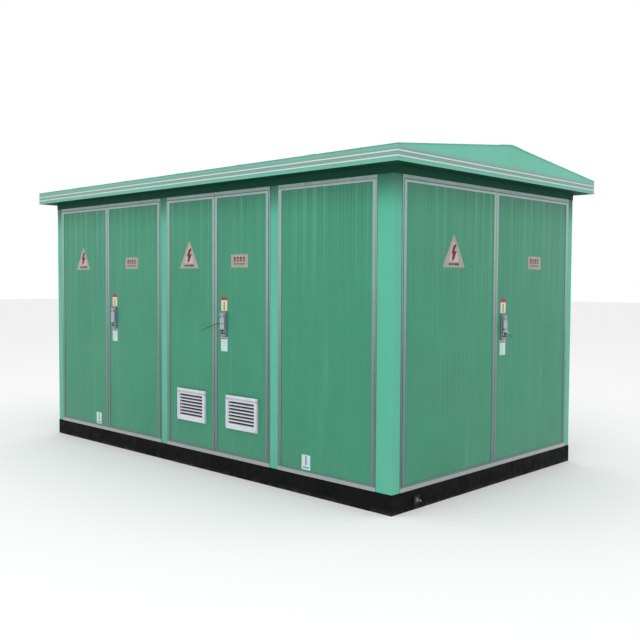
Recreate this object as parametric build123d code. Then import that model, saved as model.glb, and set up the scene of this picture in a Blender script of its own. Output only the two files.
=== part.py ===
"""Pad-mounted transformer: a walk-up compact substation housing with its equipment.

Millimetres. +X runs along the length towards the high-voltage end, the front faces -Y, +Z is up.
The origin is the centre of the footprint, on the face the base rests on.

Every wall is drawn in a wall frame: x along the wall from left to right as seen from outside,
y into the housing (0 on the outer plane of the posts), z up. WALLS places those frames.
"""
from build123d import *
import os
from math import cos, pi, sin, sqrt

os.makedirs("parts", exist_ok=True)

# ------------------------------------------------------------------ driving dimensions
# Wall openings and the posts between them
bay_lv = 1660.0               # low-voltage doorway
bay_tr = 1285.0               # transformer doorway
bay_hv = 944.0                # fixed panel of the high-voltage room
bay_end = 2260.0              # doorway across the high-voltage end
post_left = 92.0
post_mid = 90.0
post_right = 139.0
post_end = 85.0               # width of every corner post on the end walls
post_wall = 3.0
post_depth = 60.0             # depth of the posts between two bays
post_corner_r = 10.0
opening_height = 2100.0

# Base
base_height = 140.0
base_flange = 58.0
base_web_t = 6.0
base_flange_t = 8.0
bearer_t = 8.0
bearer_offset = 300.0
floor_t = 4.0
floor_edge_gap = 2.0
anchor_r = 9.0
anchor_inset_x = 200.0
anchor_inset_y = 34.0

# Roof
header_height = 55.0
header_depth = 60.0
roof_overhang = 125.0         # fascia face beyond the walls
roof_edge = 5.0               # ribs and sheet edges beyond the fascia face
fascia_height = 105.0
fascia_t = 3.0
roof_rise = 145.0             # eave to ridge, under the sheets
sheet_t = 3.0
rib_height = 10.0
rib_levels = (26.0, 59.0)     # undersides of the two ribs above the fascia's lower edge
drip_height = 8.0
cap_half_width = 150.0
strap_t = 3.0                 # flat straps over the joints of the roof sheets
strap_width = 60.0
strap_count = 5
strap_foot = 10.0
strap_under_cap = 5.0

# Aluminium trim round each opening
trim_proud = 4.0
trim_depth = 60.0
trim_side = 10.0
trim_top = 22.0
trim_bottom = 28.0

# Door leaves and fixed panels
leaf_proud = 8.0              # outer face of the edge frame beyond the post plane
leaf_t = 44.0
frame_face = 27.0             # width of the profile seen on a leaf's sides
frame_face_top = 20.0
frame_face_low = 11.0
frame_web = 4.0
frame_lip_out = 5.0
frame_lip_in = 3.0
frame_round = 3.5
skin_out_t = 1.5
skin_in_t = 1.0
skin_fit = 0.5                # skins stop this far inside the frame's groove
groove_pitch = 50.0
groove_width = 5.0
groove_depth = 0.9
gap_side = 5.0
gap_level = 6.0
gap_centre = 6.0

# Concealed hinge pivots
pivot_r = 6.0
pivot_running = 0.05          # radial clearance of every turning fit
pivot_from_edge = 35.0
pivot_from_face = 16.0
pivot_embed = 18.0
pivot_reach = 24.0
pivot_end_gap = 3.0
collar_r = 11.0
collar_gap = 0.1
corner_block = 60.0
corner_block_height = 40.0
stop_inset = 200.0            # rubber stop from the meeting line
stop_width = 40.0
stop_height = 28.0
stop_gap = 0.5

# Rod locks
lock_height = 1200.0
lock_backset = 112.0          # from the leaf's free edge
lock_width = 64.0
lock_length = 200.0
lock_depth = 14.0
lock_corner_r = 10.0
lock_round = 2.5
key_boss_r = 9.0
key_boss_drop = 55.0
hub_rise = 62.0               # hub centre above the lock centre
hub_r = 20.0
hub_lift = 0.5
hub_plate_t = 2.5
spindle_r = 8.0
spindle_hole_gap = 3.0
ear_half_gap = 9.0
ear_t = 4.0
ear_r = 6.5
ear_rise = 5.0
hinge_pin_r = 3.0
hood_height = 14.0
paddle_width = 52.0
paddle_length = 93.0
paddle_t = 8.0
paddle_drop = 12.0
crank_gap = 2.0
crank_t = 4.0
crank_r = 18.0
crank_throw = 12.0
crank_pin_r = 3.0
rod_width = 17.5
rod_t = 5.0
rod_gap = 1.0
rod_centre = 10.25
rod_slot_length = 12.0
rod_slot_clearance = 0.6
rod_tip_below = 3.0
guide_inset = 45.0
guide_height = 20.0
guide_wall = 5.0
guide_clearance = 0.5
keeper_clearance = 2.0

# Ventilation louvres
louvre_width = 365.0
louvre_height = 264.0
louvre_proud = 20.0
louvre_bottom = 381.0
louvre_shift = 20.0           # louvre centre to the right of the leaf's centre
louvre_rim_side = 32.0
louvre_rim_top = 46.0
louvre_rim_bottom = 34.0
louvre_border = 20.0          # raised border round the recessed rim
louvre_recess = 3.0
louvre_slots = 7
louvre_slat_t = 2.5
louvre_slat_height = 14.5
louvre_slat_run = 9.0
louvre_spigot = 15.0
louvre_spigot_t = 3.0
louvre_hole_clearance = 1.0

# Rooms
partition_t = 3.0
stiffener_depth = 30.0
stiffener_pitch = 480.0
wall_clearance = 2.0

# Cable plates in the floor
gland_fit = 0.5
gland_lap = 25.0
hv_gland_r = 40.0
lv_slot_width = 600.0
lv_slot_depth = 160.0
hv_slot_depth = 130.0

# Fan
fan_r = 150.0
fan_wall = 6.0
fan_height = 80.0
fan_tip_gap = 6.0
fan_motor_r = 42.0
fan_motor_height = 48.0
fan_shaft_r = 5.0
fan_blades = 5
fan_pitch_deg = 28.0

# Transformer
tank_length = 770.0
tank_width = 480.0
tank_height = 700.0
tank_wall = 4.0
tank_skid = 60.0
tank_flange = 30.0
cover_t = 8.0
fin_t = 8.0
fin_depth = 110.0
fin_height = 480.0
fin_pitch = 50.0
core_limb = 110.0
coil_r = 104.0
coil_height = 380.0
coil_pitch = 225.0
hv_bushing_pitch = 220.0
lv_bushing_pitch = 150.0
bushing_row = 120.0
tap_r = 30.0
tap_spindle_r = 6.0

# Switchgear
cubicle_t = 2.5
hv_cubicles = 3
hv_cubicle_width = 480.0
hv_cubicle_depth = 720.0
hv_cubicle_height = 1600.0
hv_front_clearance = 180.0
lv_cubicles = 2
lv_cubicle_width = 700.0
lv_cubicle_depth = 500.0
lv_cubicle_height = 1800.0
lv_front_clearance = 420.0
panel_plate_t = 3.0
handle_shaft_r = 8.0
handle_height = 1050.0

# Earth terminal
earth_from_corner = 265.0
earth_height = 64.0
earth_pad = 60.0
earth_pad_t = 6.0
earth_stud_r = 6.0            # free end that takes the lug
earth_neck_r = 6.4            # part inside the pad, washer and nut
earth_stud_length = 40.0
earth_nut_r = 11.0
earth_nut_t = 10.0
earth_washer_t = 2.0

# ------------------------------------------------------------------ derived sizes
body_length = post_left + bay_lv + post_mid + bay_tr + post_mid + bay_hv + post_right
body_width = bay_end + 2 * post_end
half_l = body_length / 2
half_w = body_width / 2
opening_top = base_height + opening_height
header_top = opening_top + header_height
fascia_top = header_top + fascia_height
roof_half_l = half_l + roof_overhang
roof_half_w = half_w + roof_overhang
eave_half_l = roof_half_l + roof_edge
eave_half_w = roof_half_w + roof_edge

lv_x0 = -half_l + post_left
lv_x1 = lv_x0 + bay_lv
tr_x0 = lv_x1 + post_mid
tr_x1 = tr_x0 + bay_tr
hv_x0 = tr_x1 + post_mid
hv_x1 = hv_x0 + bay_hv
part_x = (lv_x1 + post_mid / 2, tr_x1 + post_mid / 2)
tr_mid = (part_x[0] + part_x[1]) / 2

leaf_z0 = base_height + trim_bottom + gap_level
leaf_z1 = opening_top - trim_top - gap_level
leaf_in = leaf_t - leaf_proud          # inner face of a leaf in the wall frame
skin_y = frame_lip_out - leaf_proud    # outer face of the outer skin
skin_in_y = leaf_in - frame_lip_in     # inner face of the inner skin
pivot_y = pivot_from_face - leaf_proud
hub_z = lock_height + hub_rise
housing_y = skin_y - lock_depth        # front of the lock housing
crank_y = leaf_in + crank_gap
rod_y = crank_y + crank_t + rod_gap
floor_z = base_height + floor_t
slope = roof_rise / eave_half_w

hv_front_x = half_l - hv_front_clearance - trim_depth
hv_gland_x = hv_front_x - hv_cubicle_depth / 2
lv_front_y = -half_w + trim_depth + lv_front_clearance
lv_gland_y = lv_front_y + lv_cubicle_depth / 2
lv_mid_x = (lv_x0 + lv_x1) / 2

WALLS = {
    "front": Location((0, -half_w, 0)),
    "end": Location((half_l, 0, 0), (0, 0, 90)),
    "rear": Location((0, half_w, 0), (0, 0, 180)),
    "left": Location((-half_l, 0, 0), (0, 0, -90)),
}
PAIR, SINGLE = 2, 1


# ------------------------------------------------------------------ helpers
def block(x0, x1, y0, y1, z0, z1):
    """Rectangular solid between two corners."""
    return Pos((x0 + x1) / 2, (y0 + y1) / 2, (z0 + z1) / 2) * Box(x1 - x0, y1 - y0, z1 - z0)


def rod_z(x, y, r, z0, z1):
    """Round bar along z."""
    return Pos(x, y, (z0 + z1) / 2) * Cylinder(r, z1 - z0)


def rod_on_y(x, z, r, y0, y1):
    """Round bar along y."""
    return Pos(x, (y0 + y1) / 2, z) * Rot(90, 0, 0) * Cylinder(r, y1 - y0)


def rod_on_x(y, z, r, x0, x1):
    """Round bar along x."""
    return Pos((x0 + x1) / 2, y, z) * Rot(0, 90, 0) * Cylinder(r, x1 - x0)


def prism_z(points, z0, z1):
    """Outline in x and y, extruded from z0 to z1."""
    face = make_face(Polyline(*points, close=True))
    return Pos(0, 0, z0) * extrude(face, amount=z1 - z0, dir=(0, 0, 1))


def prism_x(points, x0, x1):
    """Outline in y and z, extruded from x0 to x1."""
    face = make_face(Polyline(*[(0, y, z) for y, z in points], close=True))
    return Pos(x0, 0, 0) * extrude(face, amount=x1 - x0, dir=(1, 0, 0))


def tube(x0, x1, y0, y1, z0, z1, wall, along):
    """Rectangular tube, open at both ends along one axis."""
    cut = {"x": (0, wall, wall), "y": (wall, 0, wall), "z": (wall, wall, 0)}[along]
    inner = block(x0 + cut[0], x1 - cut[0], y0 + cut[1], y1 - cut[1], z0 + cut[2], z1 - cut[2])
    return block(x0, x1, y0, y1, z0, z1) - inner


def save(name, pieces, at=Location()):
    """Write one node, its pieces moved from the wall frame to the part's frame."""
    solids = [solid for piece in pieces for solid in (at * piece).solids()]
    export_step(Compound(solids), f"parts/{name}.step")


# ------------------------------------------------------------------ base and floor
def base_members():
    """Channels round the edge, cross members under the partitions, bearers under the floor."""
    members = []
    inner_w = half_w - base_flange
    levels = ((0, base_flange_t), (base_height - base_flange_t, base_height))
    for side in (-1, 1):
        ys = sorted((side * half_w, side * (half_w - base_web_t)))
        member = block(-half_l, half_l, ys[0], ys[1], 0, base_height)
        ys = sorted((side * half_w, side * inner_w))
        for z0, z1 in levels:
            member += block(-half_l + base_web_t, half_l - base_web_t, ys[0], ys[1], z0, z1)
        for x in (-half_l + anchor_inset_x, half_l - anchor_inset_x):
            member -= rod_z(x, side * (half_w - anchor_inset_y), anchor_r, -1, base_flange_t + 1)
        members.append(member)
    for side in (-1, 1):
        xs = sorted((side * half_l, side * (half_l - base_web_t)))
        web_w = half_w - base_web_t
        member = block(xs[0], xs[1], -web_w, web_w, base_flange_t, base_height - base_flange_t)
        member += block(xs[0], xs[1], -web_w, web_w, 0, base_height)
        xs = sorted((side * half_l, side * (half_l - base_flange)))
        for z0, z1 in levels:
            member += block(xs[0], xs[1], -inner_w, inner_w, z0, z1)
        members.append(member)
    for x in part_x:
        half_flange = base_flange / 2
        member = block(x - base_web_t / 2, x + base_web_t / 2, -inner_w, inner_w, 0, base_height)
        for z0, z1 in levels:
            member += block(x - half_flange, x + half_flange, -inner_w, inner_w, z0, z1)
        members.append(member)
    stations = (-half_l, part_x[0], part_x[1], half_l)
    for i in range(3):
        x0 = stations[i] + (base_flange if i == 0 else base_flange / 2)
        x1 = stations[i + 1] - (base_flange if i == 2 else base_flange / 2)
        for y in (-bearer_offset, bearer_offset):
            members.append(block(x0, x1, y - bearer_t / 2, y + bearer_t / 2, 0, base_height))
    return members


def floor_pieces():
    """A chequer plate in each room and the two plates that the cables come up through."""
    edge_y = half_w - post_end - floor_edge_gap
    edge_x = half_l - trim_depth - floor_edge_gap
    side = partition_t / 2 + floor_edge_gap
    lv_floor = block(-edge_x, part_x[0] - side, -edge_y, edge_y, base_height, floor_z)
    tr_floor = block(part_x[0] + side, part_x[1] - side, -edge_y, edge_y, base_height, floor_z)
    hv_floor = block(part_x[1] + side, edge_x, -edge_y, edge_y, base_height, floor_z)
    lv_floor -= block(lv_mid_x - lv_slot_width / 2, lv_mid_x + lv_slot_width / 2,
                      lv_gland_y - lv_slot_depth / 2, lv_gland_y + lv_slot_depth / 2,
                      base_height - 1, floor_z + 1)
    hv_length = (hv_cubicles - 1) * hv_cubicle_width + hv_slot_depth
    hv_floor -= block(hv_gland_x - hv_slot_depth / 2, hv_gland_x + hv_slot_depth / 2,
                      -hv_length / 2, hv_length / 2, base_height - 1, floor_z + 1)
    fit, lap = gland_fit, gland_lap
    lv_plate = block(lv_mid_x - lv_slot_width / 2 + fit, lv_mid_x + lv_slot_width / 2 - fit,
                     lv_gland_y - lv_slot_depth / 2 + fit, lv_gland_y + lv_slot_depth / 2 - fit,
                     base_height, floor_z)
    lv_plate -= block(lv_mid_x - lv_slot_width / 2 + lap, lv_mid_x + lv_slot_width / 2 - lap,
                      lv_gland_y - lv_slot_depth / 2 + lap, lv_gland_y + lv_slot_depth / 2 - lap,
                      base_height - 1, floor_z + 1)
    hv_plate = block(hv_gland_x - hv_slot_depth / 2 + fit, hv_gland_x + hv_slot_depth / 2 - fit,
                     -hv_length / 2 + fit, hv_length / 2 - fit, base_height, floor_z)
    for i in range(hv_cubicles):
        y = (i + 0.5 - hv_cubicles / 2) * hv_cubicle_width
        hv_plate -= rod_z(hv_gland_x, y, hv_gland_r, base_height - 1, floor_z + 1)
    return [lv_floor, tr_floor, hv_floor, lv_plate, hv_plate]


def earth_pieces():
    """Welded pad, stud, washer and nut on the base at the high-voltage end."""
    y = -half_w + earth_from_corner
    z = earth_height
    tip = half_l + earth_stud_length
    seat = half_l + earth_pad_t
    half = earth_pad / 2
    pad = block(half_l, seat, y - half, y + half, z - half, z + half)
    nut_face = seat + earth_washer_t + earth_nut_t
    pad -= rod_on_x(y, z, earth_neck_r, half_l - 1, seat + 1)
    stud = rod_on_x(y, z, earth_stud_r, half_l, tip)
    stud = chamfer(stud.faces().sort_by(Axis.X)[-1].edges(), 1.0)
    stud += rod_on_x(y, z, earth_neck_r, half_l, nut_face)
    washer = rod_on_x(y, z, earth_nut_r + 2, seat, seat + earth_washer_t)
    washer -= rod_on_x(y, z, earth_neck_r, seat - 1, nut_face)
    hexagon = [(y + earth_nut_r * cos(i * pi / 3), z + earth_nut_r * sin(i * pi / 3)) for i in range(6)]
    nut = prism_x(hexagon, seat + earth_washer_t, nut_face)
    nut -= rod_on_x(y, z, earth_neck_r, seat, nut_face + 1)
    return [pad, stud, washer, nut]


# ------------------------------------------------------------------ posts, rails and roof
def post_pieces():
    """Corner posts with a rounded outer edge, and the posts between the bays."""
    posts = []
    for sx, width in ((-1, post_left), (1, post_right)):
        for sy in (-1, 1):
            xs = sorted((sx * half_l, sx * (half_l - width)))
            ys = sorted((sy * half_w, sy * (half_w - post_end)))
            post = tube(xs[0], xs[1], ys[0], ys[1], base_height, opening_top, post_wall, "z")
            corner = (sx * half_l, sy * half_w, (base_height + opening_top) / 2)
            edge = post.edges().filter_by(Axis.Z).sort_by_distance(corner)[0]
            posts.append(fillet(edge, post_corner_r))
    for x in part_x:
        for sy in (-1, 1):
            ys = sorted((sy * half_w, sy * (half_w - post_depth)))
            posts.append(tube(x - post_mid / 2, x + post_mid / 2, ys[0], ys[1],
                              base_height, opening_top, post_wall, "z"))
    return posts


def header_pieces():
    """Tubes that tie the tops of the posts together and carry the ceiling."""
    z0, z1 = opening_top, header_top
    rails = []
    for sy in (-1, 1):
        ys = sorted((sy * half_w, sy * (half_w - header_depth)))
        rails.append(tube(-half_l + post_wall, half_l - post_wall, ys[0], ys[1], z0, z1, post_wall, "x"))
        for x0, x1 in ((-half_l, -half_l + post_wall), (half_l - post_wall, half_l)):
            rails.append(block(x0, x1, ys[0], ys[1], z0, z1))
    inner_w = half_w - header_depth
    for sx in (-1, 1):
        xs = sorted((sx * half_l, sx * (half_l - header_depth)))
        rails.append(tube(xs[0], xs[1], -inner_w, inner_w, z0, z1, post_wall, "y"))
    for x in part_x:
        half = header_depth / 2
        rails.append(tube(x - half, x + half, -inner_w, inner_w, z0, z1, post_wall, "y"))
    return rails


def ceiling_piece():
    """Flat sheet that closes the eaves from below and holds the fan."""
    lx, ly = roof_half_l - fascia_t, roof_half_w - fascia_t
    sheet = block(-lx, lx, -ly, ly, header_top, header_top + sheet_t)
    return sheet - rod_z(tr_mid, 0, fan_r, header_top - 1, header_top + sheet_t + 1)


def fascia_pieces():
    """Four boards with a drip edge along the bottom."""
    boards = []
    z0, z1 = header_top, fascia_top
    for sy in (-1, 1):
        ys = sorted((sy * roof_half_w, sy * (roof_half_w - fascia_t)))
        board = block(-roof_half_l, roof_half_l, ys[0], ys[1], z0, z1)
        ys = sorted((sy * roof_half_w, sy * eave_half_w))
        boards.append(board + block(-eave_half_l, eave_half_l, ys[0], ys[1], z0, z0 + drip_height))
    inner_w = roof_half_w - fascia_t
    for sx in (-1, 1):
        xs = sorted((sx * roof_half_l, sx * (roof_half_l - fascia_t)))
        board = block(xs[0], xs[1], -inner_w, inner_w, z0, z1)
        xs = sorted((sx * roof_half_l, sx * eave_half_l))
        lip = block(xs[0], xs[1], -roof_half_w, roof_half_w, z0, z0 + drip_height)
        boards.append(board + lip)
    return boards


def rib_pieces():
    """Two white mouldings round the fascia."""
    ribs = []
    soft = rib_height / 3
    for level in rib_levels:
        z0 = header_top + level
        for sy in (-1, 1):
            ys = sorted((sy * roof_half_w, sy * eave_half_w))
            rib = block(-eave_half_l, eave_half_l, ys[0], ys[1], z0, z0 + rib_height)
            outer = rib.faces().sort_by(Axis.Y)[0 if sy < 0 else -1]
            ribs.append(fillet(outer.edges().filter_by(Axis.X), soft))
        for sx in (-1, 1):
            xs = sorted((sx * roof_half_l, sx * eave_half_l))
            rib = block(xs[0], xs[1], -roof_half_w, roof_half_w, z0, z0 + rib_height)
            outer = rib.faces().sort_by(Axis.X)[0 if sx < 0 else -1]
            ribs.append(fillet(outer.edges().filter_by(Axis.Y), soft))
    return ribs


def under_sheet(y):
    """Height of the roof sheets' underside at a distance y from the ridge line."""
    return fascia_top + (eave_half_w - abs(y)) * slope


def roof_pieces():
    """Two sloping sheets with flat straps over their joints, and the ridge cap."""
    pieces = []
    for sy in (-1, 1):
        outline = [(sy * eave_half_w, fascia_top), (0, under_sheet(0)),
                   (0, under_sheet(0) + sheet_t), (sy * eave_half_w, fascia_top + sheet_t)]
        sheet = prism_x(outline, -eave_half_l, eave_half_l)
        foot, head = eave_half_w - strap_foot, cap_half_width + strap_under_cap
        low, high = sheet_t - 0.5, sheet_t + strap_t
        strap = [(sy * foot, under_sheet(foot) + low), (sy * head, under_sheet(head) + low),
                 (sy * head, under_sheet(head) + high), (sy * foot, under_sheet(foot) + high)]
        for i in range(strap_count):
            x = (i + 1 - (strap_count + 1) / 2) * 2 * eave_half_l / (strap_count + 1)
            sheet += prism_x(strap, x - strap_width / 2, x + strap_width / 2)
        pieces.append(sheet)
    w = cap_half_width
    cap = [(-w, under_sheet(w) + sheet_t), (0, under_sheet(0) + sheet_t), (w, under_sheet(w) + sheet_t),
           (w, under_sheet(w) + 2 * sheet_t), (0, under_sheet(0) + 2 * sheet_t),
           (-w, under_sheet(w) + 2 * sheet_t)]
    pieces.append(prism_x(cap, -eave_half_l, eave_half_l))
    return pieces


def gable_pieces():
    """Plates that close the two ends of the roof."""
    w = roof_half_w - fascia_t
    outline = [(-w, fascia_top), (-w, under_sheet(w)), (0, under_sheet(0)),
               (w, under_sheet(w)), (w, fascia_top)]
    return [prism_x(outline, *sorted((sx * roof_half_l, sx * (roof_half_l - fascia_t)))) for sx in (-1, 1)]


# ------------------------------------------------------------------ openings, leaves and panels
def leaf_spans(x0, x1, count, side_gap, centre_gap):
    """Left and right edges of the leaves in an opening."""
    a, b = x0 + trim_side + side_gap, x1 - trim_side - side_gap
    if count == SINGLE:
        return [(a, b)]
    mid = (a + b) / 2
    return [(a, mid - centre_gap / 2), (mid + centre_gap / 2, b)]


def pivot_x(span, hinge):
    """Position of a leaf's hinge line, hinge being -1 for its left edge and 1 for its right edge."""
    return span[0] + pivot_from_edge if hinge < 0 else span[1] - pivot_from_edge


def lock_x(span):
    """Centre of the rod lock on a right-hand leaf."""
    return span[0] + lock_backset


def trim_ring(x0, x1, leaves):
    """Four bars round an opening; behind doors they hold the pivots, stops and rod keepers."""
    y0, y1 = -trim_proud, trim_depth
    z0, z1 = base_height, opening_top
    low = block(x0, x1, y0, y1, z0, z0 + trim_bottom)
    high = block(x0, x1, y0, y1, z1 - trim_top, z1)
    stops = []
    if leaves:
        for span, hinge in zip(leaves, (-1, 1)):
            x = pivot_x(span, hinge)
            low -= rod_z(x, pivot_y, pivot_r, z0 + trim_bottom - pivot_embed, z0 + trim_bottom + 1)
            high -= rod_z(x, pivot_y, pivot_r, z1 - trim_top - 1, z1 - trim_top + pivot_embed)
        middle = (x0 + x1) / 2
        for side in (-1, 1):
            xs = sorted((middle + side * stop_inset, middle + side * (stop_inset + stop_width)))
            ys = (leaf_in + stop_gap, trim_depth)
            for foot in (z0 + trim_bottom, z1 - trim_top - stop_height):
                stops.append(block(xs[0], xs[1], ys[0], ys[1], foot, foot + stop_height))
        lock = lock_x(leaves[1])
        k = keeper_clearance
        half = rod_width / 2 + k
        low -= block(lock + rod_centre - half, lock + rod_centre + half, rod_y - k, rod_y + rod_t + k,
                     z0 - 1, z0 + trim_bottom + 1)
        high -= block(lock - rod_centre - half, lock - rod_centre + half, rod_y - k, rod_y + rod_t + k,
                      z1 - trim_top - 1, z1 + 1)
    sides = [block(a, b, y0, y1, z0 + trim_bottom, z1 - trim_top)
             for a, b in ((x0, x0 + trim_side), (x1 - trim_side, x1))]
    return [low, high] + sides + stops


def edge_frame(x0, x1, z0, z1):
    """Aluminium profile round a leaf or panel, grooved for the two skins."""
    f, w = frame_face, frame_web
    frame = block(x0, x1, -leaf_proud, leaf_in, z0, z1)
    frame -= block(x0 + f, x1 - f, -leaf_proud - 1, leaf_in + 1, z0 + frame_face_low, z1 - frame_face_top)
    frame -= block(x0 + w, x1 - w, skin_y, skin_in_y, z0 + w, z1 - w)
    return fillet(frame.faces().sort_by(Axis.Y)[0].edges(), frame_round)


def with_pivots(frame, span, hinge):
    """Corner blocks with the bores that turn on the hinge pivots."""
    edge = span[0] if hinge < 0 else span[1]
    xs = sorted((edge - hinge * frame_web, edge - hinge * corner_block))
    ys = (skin_y + skin_out_t, skin_in_y - skin_in_t)
    inner0, inner1 = leaf_z0 + frame_web, leaf_z1 - frame_web
    frame += block(xs[0], xs[1], ys[0], ys[1], inner0, inner0 + corner_block_height)
    frame += block(xs[0], xs[1], ys[0], ys[1], inner1 - corner_block_height, inner1)
    x = pivot_x(span, hinge)
    bore = pivot_r + pivot_running
    depth = pivot_reach + pivot_end_gap
    frame -= rod_z(x, pivot_y, bore, leaf_z0 - 1, leaf_z0 + depth)
    return frame - rod_z(x, pivot_y, bore, leaf_z1 - depth, leaf_z1 + 1)


def rod_guides(span):
    """Brackets on the leaf's inner face that keep the two lock rods straight."""
    lock = lock_x(span)
    c = guide_clearance
    guides = []
    for x, z in ((lock - rod_centre, leaf_z1 - guide_inset), (lock + rod_centre, leaf_z0 + guide_inset)):
        half, top = rod_width / 2 + c, rod_y + rod_t + c
        z0, z1 = z - guide_height / 2, z + guide_height / 2
        bracket = block(x - half - guide_wall, x + half + guide_wall, skin_in_y, top + guide_wall, z0, z1)
        guides.append(bracket - block(x - half, x + half, skin_in_y - 1, top, z0 - 1, z1 + 1))
    return guides


def skins(x0, x1, z0, z1):
    """Outer skin with fine upright grooves, and a flat inner skin."""
    inset = frame_web + skin_fit
    a, b = x0 + inset, x1 - inset
    mid, count = (a + b) / 2, int((b - a) / 2 / groove_pitch)
    y, deep, half = skin_y, skin_y + groove_depth, groove_width / 2
    outline = [(a, skin_y + skin_out_t), (a, y)]
    for i in range(-count, count + 1):
        x = mid + i * groove_pitch
        if a + half < x - half and x + half < b - half:
            outline += [(x - half, y), (x, deep), (x + half, y)]
    outline += [(b, y), (b, skin_y + skin_out_t)]
    outer = prism_z(outline, z0 + inset, z1 - inset)
    inner = block(a, b, skin_in_y - skin_in_t, skin_in_y, z0 + inset, z1 - inset)
    return [outer, inner]


def louvre(centre):
    """Framed grille with inclined slats, and the spigot that passes through the panel."""
    x0, x1 = centre - louvre_width / 2, centre + louvre_width / 2
    z0, z1 = louvre_bottom, louvre_bottom + louvre_height
    face = skin_y - louvre_proud
    hx0, hx1 = x0 + louvre_rim_side, x1 - louvre_rim_side
    hz0, hz1 = z0 + louvre_rim_bottom, z1 - louvre_rim_top
    body = block(x0, x1, face, skin_y, z0, z1)
    body = fillet(body.faces().sort_by(Axis.Y)[0].edges(), 3.0)
    body -= block(x0 + louvre_border, x1 - louvre_border, face - 1, face + louvre_recess,
                  z0 + louvre_border, z1 - louvre_border)
    t = louvre_spigot_t
    body += block(hx0 - t, hx1 + t, skin_y, skin_y + louvre_spigot, hz0 - t, hz1 + t)
    body -= block(hx0, hx1, face - 1, skin_y + louvre_spigot + 1, hz0, hz1)
    pitch = (hz1 - hz0) / louvre_slots
    top_y = face + louvre_recess + louvre_slat_run
    for i in range(louvre_slots):
        z = hz0 + i * pitch
        slat = [(top_y, z + louvre_slat_height), (top_y + louvre_slat_t, z + louvre_slat_height),
                (top_y - louvre_slat_run + louvre_slat_t, z), (top_y - louvre_slat_run, z)]
        body += prism_x(slat, hx0 - 1, hx1 + 1)
    return body


def louvre_hole(centre):
    """Cut through a panel's two skins behind a louvre."""
    grow = louvre_spigot_t + louvre_hole_clearance
    return block(centre - louvre_width / 2 + louvre_rim_side - grow,
                 centre + louvre_width / 2 - louvre_rim_side + grow,
                 skin_y - 1, skin_in_y + 1,
                 louvre_bottom + louvre_rim_bottom - grow,
                 louvre_bottom + louvre_height - louvre_rim_top + grow)


# ------------------------------------------------------------------ rod locks
def lock_housing(x):
    """Escutcheon with the bearing for the hub and the boss of the key cylinder."""
    z = lock_height
    body = block(x - lock_width / 2, x + lock_width / 2, housing_y, skin_y,
                 z - lock_length / 2, z + lock_length / 2)
    body = fillet(body.edges().filter_by(Axis.Y), lock_corner_r)
    body = fillet(body.faces().sort_by(Axis.Y)[0].edges(), lock_round)
    key_z = z - key_boss_drop
    body += rod_on_y(x, key_z, key_boss_r, housing_y - 3, housing_y + 1)
    body -= block(x - 1.5, x + 1.5, housing_y - 4, housing_y - 1, key_z - 5, key_z + 5)
    return body - rod_on_y(x, hub_z, spindle_r + pivot_running, housing_y - 1, skin_y + 1)


def lock_hub(x):
    """Turning head with the lever's ears, its spindle through the leaf, and the crank behind."""
    back = housing_y - hub_lift
    front = back - hub_plate_t
    pin_y = front - ear_rise
    hub = rod_on_y(x, hub_z, hub_r, front, back)
    for side in (-1, 1):
        xs = sorted((x + side * ear_half_gap, x + side * (ear_half_gap + ear_t)))
        hub += rod_on_x(pin_y, hub_z, ear_r, xs[0], xs[1])
        hub += block(xs[0], xs[1], pin_y, front + 0.5, hub_z - ear_r, hub_z + ear_r)
        hub -= rod_on_x(pin_y, hub_z, hinge_pin_r + pivot_running, xs[0] - 1, xs[1] + 1)
    hood_z = hub_z + ear_r + 1
    hood = block(x - paddle_width / 2, x + paddle_width / 2, pin_y - paddle_t / 2, back,
                 hood_z, hood_z + hood_height)
    hood = fillet(hood.edges().filter_by(Axis.Y), 4.0)
    hub += fillet(hood.faces().sort_by(Axis.Y)[0].edges(), 2.0)
    hub += rod_on_y(x, hub_z, spindle_r, back - 1, crank_y + crank_t)
    hub += rod_on_y(x, hub_z, crank_r, crank_y, crank_y + crank_t)
    throw = crank_throw / sqrt(2)
    for side in (-1, 1):
        hub += rod_on_y(x + side * throw, hub_z - side * throw, crank_pin_r, crank_y, rod_y + rod_t + 2)
    return hub


def lock_lever(x):
    """Paddle that lifts away from the housing on its own pin."""
    pin_y = housing_y - hub_lift - hub_plate_t - ear_rise
    top = hub_z - paddle_drop
    y0, y1 = pin_y - paddle_t / 2, pin_y + paddle_t / 2
    paddle = block(x - paddle_width / 2, x + paddle_width / 2, y0, y1, top - paddle_length, top)
    paddle = fillet(paddle.edges().filter_by(Axis.Y), 7.0)
    paddle = fillet(paddle.faces().sort_by(Axis.Y)[0].edges(), 2.5)
    reach = ear_half_gap - 0.3
    paddle += block(x - reach, x + reach, y0, y1 - 0.5, top - 4, hub_z)
    paddle += rod_on_x(pin_y, hub_z, ear_rise - 0.2, x - reach, x + reach)
    return paddle + rod_on_x(pin_y, hub_z, hinge_pin_r, x - ear_half_gap - ear_t, x + ear_half_gap + ear_t)


def lock_rod(x, side):
    """Flat rod driven by a crank pin: side 1 runs up, side -1 runs down."""
    centre = x - side * rod_centre
    throw = crank_throw / sqrt(2)
    slot_z = hub_z + side * throw
    near = slot_z - side * (crank_pin_r + rod_slot_clearance + 4)
    tip = leaf_z1 - rod_tip_below if side > 0 else leaf_z0 + rod_tip_below
    zs = sorted((near, tip))
    rod = block(centre - rod_width / 2, centre + rod_width / 2, rod_y, rod_y + rod_t, zs[0], zs[1])
    slot_x = x - side * (crank_throw + throw) / 2
    half_h = crank_pin_r + rod_slot_clearance
    half_l_slot = rod_slot_length / 2
    return rod - block(slot_x - half_l_slot, slot_x + half_l_slot, rod_y - 1, rod_y + rod_t + 1,
                       slot_z - half_h, slot_z + half_h)


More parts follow.
